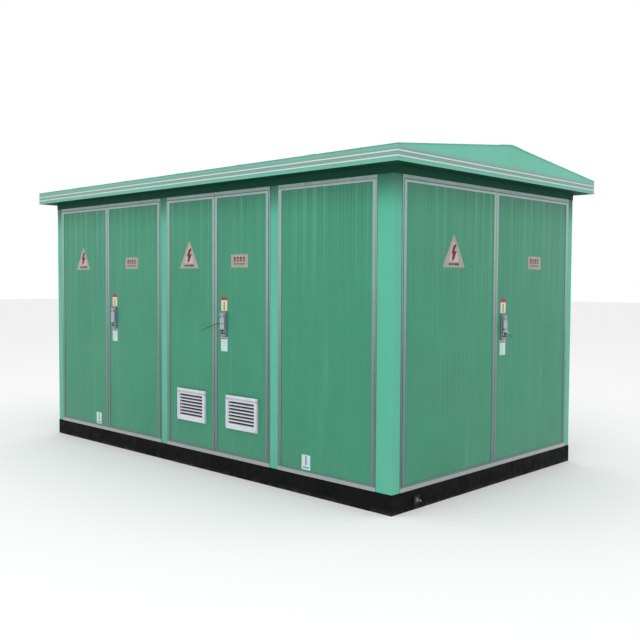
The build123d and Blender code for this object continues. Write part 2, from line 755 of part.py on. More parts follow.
def spindle_hole(x):
    """Clearance hole for the hub's spindle through both skins."""
    return rod_on_y(x, hub_z, spindle_r + spindle_hole_gap, skin_y - 1, skin_in_y + 1)


# ------------------------------------------------------------------ equipment
def cubicle(x0, x1, depth, height, windows):
    """Steel cabinet shell, open at the bottom, facing -y, with raised panels on its front."""
    t = cubicle_t
    shell = block(x0, x1, 0, depth, floor_z, floor_z + height)
    shell -= block(x0 + t, x1 - t, t, depth - t, floor_z - 1, floor_z + height - t)
    for low, high in windows:
        plate = block(x0 + 40, x1 - 40, -panel_plate_t, 0.5, floor_z + low, floor_z + high)
        shell += fillet(plate.edges().filter_by(Axis.Y), 6.0)
    return shell


def handle_bore(x, z):
    """Bearing of a rotary handle through a cubicle's front."""
    return rod_on_y(x, z, handle_shaft_r + pivot_running, -panel_plate_t - 1, cubicle_t + 1)


def rotary_handle(x, z, grip):
    """Rotary operating handle with its shaft."""
    front = -panel_plate_t - 0.5
    handle = rod_on_y(x, z, handle_shaft_r, front, 40)
    handle += rod_on_y(x, z, 26, front - 10, front)
    lever = block(x - 9, x + 9, front - 32, front - 9, z - grip, z + 26)
    lever = fillet(lever.edges().filter_by(Axis.Y), 8.0)
    return handle + fillet(lever.faces().sort_by(Axis.Y)[0].edges(), 3.0)


def fan_pieces():
    """Ring, spider arms and motor, hung under the ceiling."""
    z1 = header_top
    z0 = z1 - fan_height
    outer = fan_r + fan_wall
    ring = rod_z(tr_mid, 0, outer, z0, z1) - rod_z(tr_mid, 0, fan_r, z0 - 1, z1 + 1)
    ring += rod_z(tr_mid, 0, outer + 24, z1 - 4, z1) - rod_z(tr_mid, 0, outer - 2, z1 - 5, z1 + 1)
    for turn in (0, 60, 120):
        arm = Box(2 * fan_r + fan_wall, 12, 5)
        ring += Pos(tr_mid, 0, z0 + 2.5) * Rot(0, 0, turn) * arm
    ring += rod_z(tr_mid, 0, fan_motor_r, z0, z0 + fan_motor_height)
    return [ring - rod_z(tr_mid, 0, fan_shaft_r + pivot_running, z0 + 20, z0 + fan_motor_height + 1)]


def impeller_piece():
    """Hub, shaft and pitched blades of the fan."""
    z0 = header_top - fan_height + fan_motor_height + 2
    hub_r_fan = 36.0
    hub = rod_z(tr_mid, 0, hub_r_fan, z0, z0 + 24) + rod_z(tr_mid, 0, fan_shaft_r, z0 - 22, z0 + 1)
    tip = fan_r - fan_tip_gap
    span = tip - hub_r_fan + 8
    for i in range(fan_blades):
        blade = Pos(hub_r_fan - 8 + span / 2, 0, 0) * Rot(fan_pitch_deg, 0, 0) * Box(span, 42, 2.5)
        hub += Pos(tr_mid, 0, z0 + 12) * Rot(0, 0, i * 360 / fan_blades) * blade
    return hub


def tank_piece():
    """Open-topped steel tank with a bolting flange, on two skid rails."""
    hx, hy = tank_length / 2, tank_width / 2
    z0 = floor_z + tank_skid
    z1 = z0 + tank_height
    t = tank_wall
    tank = block(-hx, hx, -hy, hy, z0, z1) - block(-hx + t, hx - t, -hy + t, hy - t, z0 + t, z1 + 1)
    rim = block(-hx - tank_flange, hx + tank_flange, -hy - tank_flange, hy + tank_flange, z1 - 8, z1)
    tank += rim - block(-hx + t, hx - t, -hy + t, hy - t, z1 - 9, z1 + 1)
    for y in (-hy + 60, hy - 60):
        tank += block(-hx + 20, hx - 20, y - 30, y + 30, floor_z, z0)
    return Pos(tr_mid, 0, 0) * tank


def cover_piece():
    """Bolted cover with the bearing of the tap changer."""
    hx, hy = tank_length / 2 + tank_flange, tank_width / 2 + tank_flange
    z0 = floor_z + tank_skid + tank_height
    cover = block(-hx, hx, -hy, hy, z0, z0 + cover_t)
    cover -= rod_z(0, 0, tap_spindle_r + pivot_running, z0 - 1, z0 + cover_t + 1)
    return Pos(tr_mid, 0, 0) * cover


def radiator_pieces():
    """Banks of cooling fins on the four sides of the tank."""
    z0 = floor_z + tank_skid + (tank_height - fin_height) / 2
    z1 = z0 + fin_height
    banks = []
    for turn, run, wall in ((0, tank_length, tank_width), (180, tank_length, tank_width),
                            (90, tank_width, tank_length), (-90, tank_width, tank_length)):
        count = int((run - 60) / fin_pitch)
        half = (count - 1) * fin_pitch / 2
        back = -wall / 2
        bank = block(-half - fin_t, half + fin_t, back - 6, back, z0, z1)
        for i in range(count):
            x = -half + i * fin_pitch
            bank += block(x - fin_t / 2, x + fin_t / 2, back - fin_depth, back - 5, z0, z1)
        banks.append(Pos(tr_mid, 0, 0) * Rot(0, 0, turn) * bank)
    return banks


def core_pieces():
    """Three-limb core and its three windings, standing in the tank."""
    z0 = floor_z + tank_skid + tank_wall
    limb_z1 = z0 + core_limb + coil_height + 40
    half = coil_pitch + core_limb / 2
    core = block(-half, half, -core_limb / 2, core_limb / 2, z0, z0 + core_limb)
    core += block(-half, half, -core_limb / 2, core_limb / 2, limb_z1, limb_z1 + core_limb)
    coils = []
    for i in (-1, 0, 1):
        x = i * coil_pitch
        core += block(x - core_limb / 2, x + core_limb / 2, -core_limb / 2, core_limb / 2, z0, limb_z1 + 1)
        coil = rod_z(x, 0, coil_r, z0 + core_limb + 20, limb_z1 - 20)
        coils.append(coil - rod_z(x, 0, core_limb * 0.72, z0 + core_limb, limb_z1))
    return [Pos(tr_mid, 0, 0) * piece for piece in [core] + coils]


def bushing(r, height, sheds):
    """Insulator with sheds, standing on z = 0, and its terminal."""
    body = rod_z(0, 0, r, 0, height)
    body += rod_z(0, 0, r * 1.7, 0, 12)
    step = (height - 40) / sheds
    for i in range(sheds):
        z = 24 + i * step
        body += Pos(0, 0, z + 6) * Cone(r * 1.75, r, 12)
    return body + rod_z(0, 0, r * 0.35, height - 1, height + 45)


def bushing_pieces():
    """Three high-voltage and four low-voltage bushings on the cover."""
    z = floor_z + tank_skid + tank_height + cover_t
    pieces = []
    for i in (-1, 0, 1):
        pieces.append(Pos(tr_mid + i * hv_bushing_pitch, bushing_row, z) * bushing(24, 260, 6))
    for i in range(4):
        x = (i - 1.5) * lv_bushing_pitch
        pieces.append(Pos(tr_mid + x, -bushing_row, z) * bushing(20, 120, 2))
    return pieces


def tap_changer_piece():
    """Hand knob of the off-load tap changer."""
    z = floor_z + tank_skid + tank_height + cover_t + 0.5
    knob = rod_z(0, 0, tap_r, z, z + 16) + rod_z(0, 0, tap_spindle_r, z - cover_t - 30, z + 1)
    grip = block(-tap_r, tap_r, -6, 6, z + 15, z + 38)
    knob += fillet(grip.edges().filter_by(Axis.Y), 5.0)
    return Pos(tr_mid, 0, 0) * knob


def partition_pieces():
    """Steel sheets with upright stiffeners between the rooms."""
    edge = half_w - post_depth - wall_clearance
    walls = []
    for x in part_x:
        half = partition_t / 2
        wall = block(x - half, x + half, -edge, edge, base_height, opening_top)
        count = int(edge / stiffener_pitch)
        for i in range(-count, count + 1):
            y = i * stiffener_pitch
            wall += block(x + half - 0.5, x + half + stiffener_depth, y - 2, y + 2,
                          floor_z + 40, opening_top - 40)
        walls.append(wall)
    return walls


# ------------------------------------------------------------------ nodes
save("base_frame", base_members())
save("floor_plates", floor_pieces())
save("earth_terminal", earth_pieces())
save("wall_posts", post_pieces())
save("header_rails", header_pieces())
save("ceiling_sheet", [ceiling_piece()])
save("fascia", fascia_pieces())
save("fascia_ribs", rib_pieces())
save("roof_covering", roof_pieces())
save("gable_plates", gable_pieces())
save("room_partitions", partition_pieces())

DOORS = {
    "lv": ("front", lv_x0, lv_x1),
    "tr": ("front", tr_x0, tr_x1),
    "hv": ("end", -bay_end / 2, bay_end / 2),
}
FIXED = [
    ("front", hv_x0, hv_x1, SINGLE, 0),
    ("rear", -hv_x1, -hv_x0, SINGLE, 0),
    ("rear", -tr_x1, -tr_x0, PAIR, 2),
    ("rear", -lv_x1, -lv_x0, PAIR, 0),
    ("left", -bay_end / 2, bay_end / 2, PAIR, 0),
]
trims, pins = [], []
for room, (wall, x0, x1) in DOORS.items():
    at = WALLS[wall]
    spans = leaf_spans(x0, x1, PAIR, gap_side, gap_centre)
    trims += [at * bar for bar in trim_ring(x0, x1, spans)]
    for side, span, hinge in (("left", spans[0], -1), ("right", spans[1], 1)):
        frame = with_pivots(edge_frame(span[0], span[1], leaf_z0, leaf_z1), span, hinge)
        faces = skins(span[0], span[1], leaf_z0, leaf_z1)
        pivot = pivot_x(span, hinge)
        low, high = leaf_z0 - gap_level, leaf_z1 + gap_level
        low_pin = rod_z(pivot, pivot_y, pivot_r, low - pivot_embed, leaf_z0 + pivot_reach)
        low_pin += rod_z(pivot, pivot_y, collar_r, low, leaf_z0 - collar_gap)
        high_pin = rod_z(pivot, pivot_y, pivot_r, leaf_z1 - pivot_reach, high + pivot_embed)
        pins += [at * low_pin, at * high_pin]
        if room == "tr":
            centre = (span[0] + span[1]) / 2 + louvre_shift
            faces = [face - louvre_hole(centre) for face in faces]
            save(f"tr_door_{side}_louvre", [louvre(centre)], at)
        if side == "right":
            x = lock_x(span)
            faces = [face - spindle_hole(x) for face in faces]
            save(f"{room}_lock_housing", [lock_housing(x)], at)
            save(f"{room}_lock_hub", [lock_hub(x)], at)
            save(f"{room}_lock_lever", [lock_lever(x)], at)
            save(f"{room}_lock_rod_upper", [lock_rod(x, 1)], at)
            save(f"{room}_lock_rod_lower", [lock_rod(x, -1)], at)
            save(f"{room}_door_{side}_frame", [frame] + rod_guides(span), at)
        else:
            save(f"{room}_door_{side}_frame", [frame], at)
        save(f"{room}_door_{side}_panel", faces, at)
save("hinge_pins", pins)

fixed_skins, rear_louvres = [], []
for wall, x0, x1, count, vents in FIXED:
    at = WALLS[wall]
    trims += [at * bar for bar in trim_ring(x0, x1, None)]
    z0, z1 = base_height + trim_bottom, opening_top - trim_top
    for span in leaf_spans(x0, x1, count, 0, 0):
        trims.append(at * edge_frame(span[0], span[1], z0, z1))
        faces = skins(span[0], span[1], z0, z1)
        if vents:
            centre = (span[0] + span[1]) / 2
            faces = [face - louvre_hole(centre) for face in faces]
            rear_louvres.append(at * louvre(centre))
        if wall == "front":
            save("hv_front_panel", faces, at)
        else:
            fixed_skins += [at * face for face in faces]
save("opening_trims", trims)
save("fixed_wall_panels", fixed_skins)
save("rear_louvres", rear_louvres)

save("fan_housing", fan_pieces())
save("fan_impeller", [impeller_piece()])
save("transformer_tank", [tank_piece()])
save("transformer_cover", [cover_piece()])
save("transformer_radiators", radiator_pieces())
save("transformer_bushings", bushing_pieces())
save("core_and_windings", core_pieces())
save("tap_changer_knob", [tap_changer_piece()])

hv_at = Location((hv_front_x, 0, 0), (0, 0, 90))
hv_units = []
for i in range(hv_cubicles):
    x0 = (i - hv_cubicles / 2) * hv_cubicle_width
    unit = cubicle(x0, x0 + hv_cubicle_width, hv_cubicle_depth, hv_cubicle_height, ((60, 760), (800, 1540)))
    if i < 2:
        x = x0 + hv_cubicle_width / 2
        unit -= handle_bore(x, handle_height)
        save(f"hv_switch_handle_{i + 1}", [rotary_handle(x, handle_height, 70)], hv_at)
    hv_units.append(unit)
save("hv_switchgear", hv_units, hv_at)

lv_at = Location((lv_mid_x, lv_front_y, 0))
lv_units = []
for i in range(lv_cubicles):
    x0 = (i - lv_cubicles / 2) * lv_cubicle_width
    unit = cubicle(x0, x0 + lv_cubicle_width, lv_cubicle_depth, lv_cubicle_height, ((60, 800), (840, 1740)))
    places = ((0.5, "main"),) if i == 0 else ((0.32, "feeder_1"), (0.68, "feeder_2"))
    for share, label in places:
        x = x0 + share * lv_cubicle_width
        unit -= handle_bore(x, handle_height)
        save(f"lv_{label}_handle", [rotary_handle(x, handle_height, 60)], lv_at)
    lv_units.append(unit)
save("lv_switchboard", lv_units, lv_at)
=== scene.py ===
"""Looks of the pad-mounted transformer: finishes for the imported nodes, and small pieces that ride on them.

The frame is in metres. Pieces are drawn in millimetres in a wall frame: x along the wall from left to right
as seen from outside, y into the housing (0 on the outer plane of the posts), z up.
"""
import math

import bmesh
import bpy
from mathutils import Matrix, Vector


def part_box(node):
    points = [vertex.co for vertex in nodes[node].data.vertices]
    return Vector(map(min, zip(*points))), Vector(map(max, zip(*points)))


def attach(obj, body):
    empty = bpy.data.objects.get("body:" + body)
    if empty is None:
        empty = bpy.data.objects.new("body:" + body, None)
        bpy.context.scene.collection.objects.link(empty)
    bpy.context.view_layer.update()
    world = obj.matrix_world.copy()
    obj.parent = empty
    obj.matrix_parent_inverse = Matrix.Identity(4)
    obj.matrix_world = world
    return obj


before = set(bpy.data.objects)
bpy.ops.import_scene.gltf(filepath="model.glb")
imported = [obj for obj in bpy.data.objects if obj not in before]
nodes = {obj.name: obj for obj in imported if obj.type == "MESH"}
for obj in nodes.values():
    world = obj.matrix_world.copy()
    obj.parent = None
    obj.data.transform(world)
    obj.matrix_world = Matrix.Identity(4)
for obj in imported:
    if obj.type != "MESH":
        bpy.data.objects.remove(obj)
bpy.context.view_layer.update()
MM = 0.001

# ---- places read from the frame
post_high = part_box("wall_posts")[1]
HALF_L, HALF_W = post_high.x, post_high.y


def turned(x, y, degrees):
    """A wall frame whose origin is at x, y."""
    return Matrix.Translation((x, y, 0)) @ Matrix.Rotation(math.radians(degrees), 4, "Z")


WALLS = {
    "front": turned(0, -HALF_W, 0),
    "end": turned(HALF_L, 0, 90),
    "rear": turned(0, HALF_W, 180),
    "left": turned(-HALF_L, 0, -90),
}
ROOM_WALL = {"lv": "front", "tr": "front", "hv": "end"}
WORLD = Matrix.Identity(4)


def mm_box(node, place=WORLD):
    """A node's lowest and highest corner in a wall frame, in millimetres."""
    inverse = place.inverted()
    a, b = (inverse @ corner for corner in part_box(node))
    low = Vector([min(p, q) / MM for p, q in zip(a, b)])
    high = Vector([max(p, q) / MM for p, q in zip(a, b)])
    return low, high


SKIN = mm_box("lv_lock_housing", WALLS["front"])[1].y      # outer face of the door skins
INNER = mm_box("lv_door_left_frame", WALLS["front"])[1].y  # inner face of a leaf

# Heights and depths, in metres, at which the finishes change
DUST_RISE = (0.15, 0.75)  # settled dust thins out
SPLASH_RISE = (0.12, 0.5)  # rain splashes on the panels
SPECK_RISE = (0.15, 0.7)  # painted highlights along the panel flutes grow stronger
PALE_RISE = (1.2, 2.1)  # the panels turn paler
EAVES = (1.98, 2.27)  # painted shade of the eaves darkens the top of the wall
LOW_SHADE_RISE = (0.6, 2.0)  # painted shade on the trims fades out from the ground up
SILL_TOP = (0.167, 0.169)  # bottom bars end
HEAD_BAR = (2.20, 2.22)  # top bars begin
MUD_RISE = (0.0, 0.04)  # mud on the base
RIB_BANDS = ((2.331, 2.354, 0.75), (2.364, 2.379, 0.9))  # greyer bands of the fascia: low, high, share
PAD_FACE = (2.1562, 2.1566)  # outer face of the earth terminal's pad, along x
SLAT_DEPTH = (1.2278, 1.2318)  # from the slats out to the louvre's recessed rim, from the middle
UNDER_BORDER = (0.604, 0.612)  # painted shade under the louvre's border begins on its rim
BORDER_EDGE = (0.6246, 0.6252)  # and stops at the border's lower edge

# Pitches of the ribbed sheet and the mesh, in metres
WIDE_FLUTE = 0.098
NARROW_FLUTE = 0.0335
MESH_PITCH = 0.0025


# ---- node helpers for materials
class Shade:
    """One Principled material and the nodes that feed it."""

    def __init__(self, name, color, rough, metallic=0.0, specular=0.5):
        self.mat = bpy.data.materials.new(name)
        self.mat.use_nodes = True
        self.tree = self.mat.node_tree
        self.bsdf = self.tree.nodes["Principled BSDF"]
        self.bsdf.inputs["Base Color"].default_value = (*color, 1)
        self.bsdf.inputs["Roughness"].default_value = rough
        self.bsdf.inputs["Metallic"].default_value = metallic
        self.bsdf.inputs["Specular IOR Level"].default_value = specular
        self.coord = self.tree.nodes.new("ShaderNodeTexCoord").outputs["Object"]
        self.normal = None

    def node(self, kind, **settings):
        made = self.tree.nodes.new(kind)
        for key, value in settings.items():
            setattr(made, key, value)
        return made

    def link(self, source, target):
        self.tree.links.new(source, target)

    def placed(self, stretch, offset):
        place = self.node("ShaderNodeMapping")
        place.inputs["Scale"].default_value = stretch
        place.inputs["Location"].default_value = (offset, offset * 0.7, offset * 1.3)
        self.link(self.coord, place.inputs["Vector"])
        return place.outputs["Vector"]

    def noise(self, scale, stretch=(1, 1, 1), detail=3.0, rough=0.55, offset=0.0):
        noise = self.node("ShaderNodeTexNoise")
        noise.inputs["Scale"].default_value = scale
        noise.inputs["Detail"].default_value = detail
        noise.inputs["Roughness"].default_value = rough
        self.link(self.placed(stretch, offset), noise.inputs["Vector"])
        return noise.outputs["Fac"]

    def cells(self, scale, stretch=(1, 1, 1)):
        cells = self.node("ShaderNodeTexVoronoi", feature="F1")
        cells.inputs["Scale"].default_value = scale
        self.link(self.placed(stretch, 0.0), cells.inputs["Vector"])
        return cells.outputs["Distance"]

    def axis(self, index):
        split = self.node("ShaderNodeSeparateXYZ")
        self.link(self.coord, split.inputs["Vector"])
        return split.outputs[index]

    def span(self, value, low, high, out_low=0.0, out_high=1.0):
        ranged = self.node("ShaderNodeMapRange", interpolation_type="SMOOTHSTEP")
        limits = {"From Min": low, "From Max": high, "To Min": out_low, "To Max": out_high}
        for name, number in limits.items():
            ranged.inputs[name].default_value = number
        self.link(value, ranged.inputs["Value"])
        return ranged.outputs["Result"]

    def math(self, kind, a, b):
        made = self.node("ShaderNodeMath", operation=kind)
        for socket, value in zip(made.inputs, (a, b)):
            if isinstance(value, (int, float)):
                socket.default_value = value
            else:
                self.link(value, socket)
        return made.outputs[0]

    def blend(self, factor, a, b):
        """Mix of two colours, each a socket or three numbers."""
        mix = self.node("ShaderNodeMix", data_type="RGBA")
        self.link(factor, mix.inputs[0])
        for socket, value in ((mix.inputs[6], a), (mix.inputs[7], b)):
            if isinstance(value, tuple):
                socket.default_value = (*value, 1)
            else:
                self.link(value, socket)
        return mix.outputs[2]

    def bump(self, height, strength, distance):
        bump = self.node("ShaderNodeBump")
        bump.inputs["Strength"].default_value = strength
        bump.inputs["Distance"].default_value = distance
        self.link(height, bump.inputs["Height"])
        if self.normal is not None:
            self.link(self.normal, bump.inputs["Normal"])
        self.normal = bump.outputs["Normal"]

    def stripes(self, pitch, low, high):
        """Upright bands that repeat along a wall, whichever way the wall runs."""
        along = self.math("ADD", self.axis(0), self.axis(1))
        wave = self.math("SINE", self.math("MULTIPLY", along, 2 * math.pi / pitch), 0.0)
        return self.span(wave, low, high)

    def finish(self, color=None, rough=None):
        if color is not None:
            self.link(color, self.bsdf.inputs["Base Color"])
        if rough is not None:
            self.link(rough, self.bsdf.inputs["Roughness"])
        if self.normal is not None:
            self.link(self.normal, self.bsdf.inputs["Normal"])
        return self.mat


def scaled(color, factor):
    return tuple(min(1.0, c * factor) for c in color)


def shaded(color):
    """The same paint in deep shade: darker and a little more saturated."""
    return (color[0] * 0.2, color[1] * 0.3, color[2] * 0.26)


def toward(color, other, share):
    return tuple(a + (b - a) * share for a, b in zip(color, other))


DUST = (0.30, 0.29, 0.25)
PALE = (0.26, 0.60, 0.46)
GRIME = (0.20, 0.18, 0.17)
# painted highlight of the bottom bars
SILL_HIGHLIGHT = (0.86, 0.84, 0.86)
# painted shade of the top bars under the eaves
HEAD_SHADE = (0.19, 0.215, 0.19)
SCUFF = (0.07, 0.07, 0.066)
CHIP = (0.28, 0.27, 0.25)
MUD = (0.16, 0.14, 0.12)
# painted shade: the slats' upper faces and the recess under the louvre's border
SLAT_SHADE = (0.045, 0.04, 0.055)
BORDER_SHADE = (0.12, 0.13, 0.15)
DRIP_GREY = (0.33, 0.34, 0.36)
PEEL_SCALE = 900.0  # grain of sprayed paint


def weathered(s, color, cloud, streak, dust, dust_z, eaves):
    """Soft clouding, rain streaks, dust that settles low down and painted shade under the eaves."""
    clouds = s.span(s.noise(1.6, detail=4.0), 0.3, 0.7)
    base = s.blend(clouds, scaled(color, 1 - cloud), scaled(color, 1 + cloud))
    fine = s.span(s.noise(42.0, detail=2.0, offset=3.1), 0.35, 0.7, 0.0, 0.3)
    base = s.blend(fine, base, scaled(color, 1 - cloud))
    runs = s.span(s.noise(14.0, stretch=(1.0, 1.0, 0.05), detail=5.0, offset=7.7), 0.5, 0.8, 0.0, streak)
    base = s.blend(runs, base, toward(color, PALE, 0.5))
    low = s.span(s.axis(2), dust_z[0], dust_z[1], dust, 0.0)
    patch = s.math("MULTIPLY", low, s.span(s.noise(14.0, detail=6.0, rough=0.7, offset=1.9), 0.3, 0.7))
    base = s.blend(patch, base, DUST)
    if eaves:
        # painted shade: the wall turns darker towards the eaves, where the soffit shades it
        base = s.blend(s.span(s.axis(2), *EAVES, 0.0, eaves), base, shaded(color))
    return base


def paint(name, color, rough=0.42, cloud=0.05, streak=0.1, dust=0.25, dust_z=DUST_RISE, peel=0.25,
          eaves=0.0, specular=0.4):
    """Coated sheet metal with orange peel."""
    s = Shade(name, color, rough, specular=specular)
    base = weathered(s, color, cloud, streak, dust, dust_z, eaves)
    gloss = s.span(s.noise(5.0, detail=5.0, offset=5.0), 0.3, 0.7, rough - 0.06, rough + 0.08)
    s.bump(s.noise(PEEL_SCALE, detail=1.0), peel, 0.0002)
    return s.finish(base, gloss)


def panel_paint(name, color):
    """The ribbed sandwich sheet: fine upright flutes with painted highlights, stronger in the upper third,
    painted shade under the eaves, and splashes low down.
    """
    s = Shade(name, color, 0.4, specular=0.45)
    base = weathered(s, color, 0.05, 0.14, 0.10, SPLASH_RISE, 0.45)
    upper = s.span(s.axis(2), *PALE_RISE, 0.0, 0.45)
    patches = s.span(s.noise(6.0, stretch=(1, 1, 0.05)), 0.35, 0.65)
    # painted highlights: paler bands along the flutes where the ribs catch the light, stronger high up
    wide = s.math("MULTIPLY", s.stripes(WIDE_FLUTE, 0.2, 1.0), patches)
    flutes = s.math("MULTIPLY", wide, s.math("ADD", upper, 0.03))
    base = s.blend(flutes, base, toward(color, PALE, 0.27))
    narrow = s.math("MULTIPLY", s.stripes(NARROW_FLUTE, 0.4, 1.0), s.math("ADD", upper, 0.02))
    base = s.blend(s.math("MULTIPLY", narrow, 0.55), base, toward(color, PALE, 0.25))
    specks = s.span(s.cells(26.0), 0.0, 0.055, 1.0, 0.0)
    near_ground = s.span(s.axis(2), *SPECK_RISE, 0.55, 0.0)
    base = s.blend(s.math("MULTIPLY", specks, near_ground), base, toward(color, DUST, 0.7))
    gloss = s.span(s.noise(4.0, stretch=(1, 1, 0.3), detail=5.0, offset=5.0), 0.3, 0.7, 0.33, 0.48)
    s.bump(s.stripes(NARROW_FLUTE, -1.0, 1.0), 0.1, 0.0008)
    s.bump(s.noise(PEEL_SCALE, detail=1.0), 0.25, 0.0002)
    return s.finish(base, gloss)


def fascia_paint(name, color, band):
    """Green board with greyer bands beside the white ribs."""
    s = Shade(name, color, 0.42, specular=0.4)
    base = weathered(s, color, 0.05, 0.08, 0.0, (0.1, 0.2), 0.0)
    for low, high, share in RIB_BANDS:
        rise = s.span(s.axis(2), low - 0.001, low + 0.001)
        fall = s.span(s.axis(2), high - 0.001, high + 0.003, share, 0.0)
        base = s.blend(s.math("MULTIPLY", rise, fall), base, band)
    s.bump(s.noise(PEEL_SCALE, detail=1.0), 0.25, 0.0002)
    return s.finish(base)


def metal(name, color, rough=0.32, grain=(1, 1, 0.02), grain_scale=700.0, grime=0.25, sill_highlight=0.0,
          eaves=0.0, low_shade=0.0):
    """Drawn or brushed metal: grain along one direction and dull patches.

    The last three options give the bottom bars a painted highlight, the top bars painted shade under the
    eaves, and the trims painted shade towards the ground.
    """
    s = Shade(name, color, rough, 1.0)
    lines = s.noise(grain_scale, stretch=grain, detail=2.0)
    base = s.blend(s.span(lines, 0.3, 0.7), scaled(color, 0.9), scaled(color, 1.08))
    dull = s.span(s.noise(7.0, detail=6.0, rough=0.7, offset=2.0), 0.42, 0.78, 0.0, grime)
    base = s.blend(dull, base, toward(color, GRIME, 0.6))
    if low_shade:
        # painted shade: the trims darken towards the ground
        base = s.blend(s.span(s.axis(2), *LOW_SHADE_RISE, low_shade, 0.0), base, scaled(color, 0.2))
    if sill_highlight:
        # painted highlight on the bottom bars, as if they caught light from above
        base = s.blend(s.span(s.axis(2), *SILL_TOP, sill_highlight, 0.0), base, SILL_HIGHLIGHT)
    if eaves:
        # painted shade on the top bars under the eaves
        base = s.blend(s.span(s.axis(2), *HEAD_BAR, 0.0, eaves), base, HEAD_SHADE)
    gloss = s.span(s.noise(23.0, detail=4.0, offset=8.0), 0.3, 0.75, rough - 0.07, rough + 0.14)
    s.bump(lines, 0.12, 0.0001)
    return s.finish(base, gloss)


def plastic(name, color, rough=0.45, speck=0.06, dust=0.0, grain=0.15):
    """Moulded plastic or print: fine grain, slight mottling and dust on it."""
    s = Shade(name, color, rough, specular=0.4)
    mottle = s.span(s.noise(30.0, detail=4.0), 0.3, 0.7)
    base = s.blend(mottle, scaled(color, 1 - speck), scaled(color, 1 + speck))
    settled = s.span(s.noise(60.0, detail=5.0, rough=0.7, offset=4.0), 0.5, 0.75, 0.0, dust)
    base = s.blend(settled, base, DUST)
    gloss = s.span(s.noise(12.0, detail=3.0, offset=6.0), 0.3, 0.7, rough - 0.05, rough + 0.07)
    s.bump(s.noise(1800.0, detail=1.0), grain, 0.0001)
    return s.finish(base, gloss)


def black_enamel(name, color):
    """Chassis black: satin, scuffed, with pale chips and splashed mud along its lower edge."""
    s = Shade(name, color, 0.6, specular=0.08)
    base = s.blend(s.span(s.noise(3.0, detail=5.0), 0.3, 0.7), scaled(color, 0.7), scaled(color, 1.5))
    scuffs = s.span(s.noise(26.0, stretch=(0.35, 0.35, 1.6), detail=7.0, rough=0.75), 0.62, 0.80, 0.0, 0.12)
    base = s.blend(scuffs, base, SCUFF)
    chips = s.span(s.cells(34.0), 0.0, 0.045, 0.6, 0.0)
    base = s.blend(s.math("MULTIPLY", chips, s.span(s.noise(4.0, offset=9.0), 0.5, 0.6)), base, CHIP)
    splashed = s.span(s.noise(11.0, detail=6.0), 0.4, 0.7)
    mud = s.math("MULTIPLY", s.span(s.axis(2), *MUD_RISE, 0.2, 0.0), splashed)
    base = s.blend(mud, base, MUD)
    gloss = s.span(s.noise(17.0, detail=5.0, offset=5.0), 0.3, 0.7, 0.5, 0.75)
    s.bump(s.noise(500.0, detail=2.0), 0.4, 0.0003)
    return s.finish(base, gloss)


def stud_metal(name):
    """Zinc stud, washer and nut on a pad that was painted with the base."""
    s = Shade(name, (0.5, 0.5, 0.47), 0.4, specular=0.3)
    beyond_pad = s.span(s.axis(0), *PAD_FACE)
    zinc = s.blend(s.span(s.noise(120.0, detail=4.0), 0.3, 0.7), (0.34, 0.34, 0.32), (0.60, 0.60, 0.57))
    black = s.blend(s.span(s.noise(60.0, detail=5.0), 0.3, 0.7), (0.003, 0.003, 0.003), (0.012, 0.012, 0.012))
    s.link(beyond_pad, s.bsdf.inputs["Metallic"])
    s.bump(s.noise(500.0, detail=2.0), 0.3, 0.0002)
    return s.finish(s.blend(beyond_pad, black, zinc))


def chequer(name, color):
    """Tread plate: raised lozenges in two directions, rubbed bright on top."""
    s = Shade(name, color, 0.45, 0.8)
    lozenge = s.math("MAXIMUM", s.span(s.cells(55.0, stretch=(1, 0.35, 1)), 0.0, 0.3, 1.0, 0.0),
                     s.span(s.cells(55.0, stretch=(0.35, 1, 1)), 0.0, 0.25, 1.0, 0.0))
    base = s.blend(lozenge, scaled(color, 0.7), scaled(color, 1.5))
    dirt = s.span(s.noise(8.0, detail=6.0, rough=0.7), 0.4, 0.75, 0.0, 0.5)
    base = s.blend(dirt, base, DUST)
    s.bump(lozenge, 0.8, 0.0015)
    return s.finish(base)


def mesh_screen(name):
    """Insect mesh: wires crossing at a fine pitch, near-black between them as painted shade of the dark room.
    """
    s = Shade(name, (0.02, 0.02, 0.02), 0.6)
    across = s.stripes(MESH_PITCH, 0.4, 0.8)
    down = s.span(s.math("SINE", s.math("MULTIPLY", s.axis(2), 2 * math.pi / MESH_PITCH), 0.0), 0.4, 0.8)
    wires = s.math("MAXIMUM", across, down)
    s.bump(wires, 0.6, 0.0004)
    # between the wires: painted shade of the room behind, not a view into it
    return s.finish(s.blend(wires, (0.002, 0.002, 0.003), (0.018, 0.018, 0.021)))


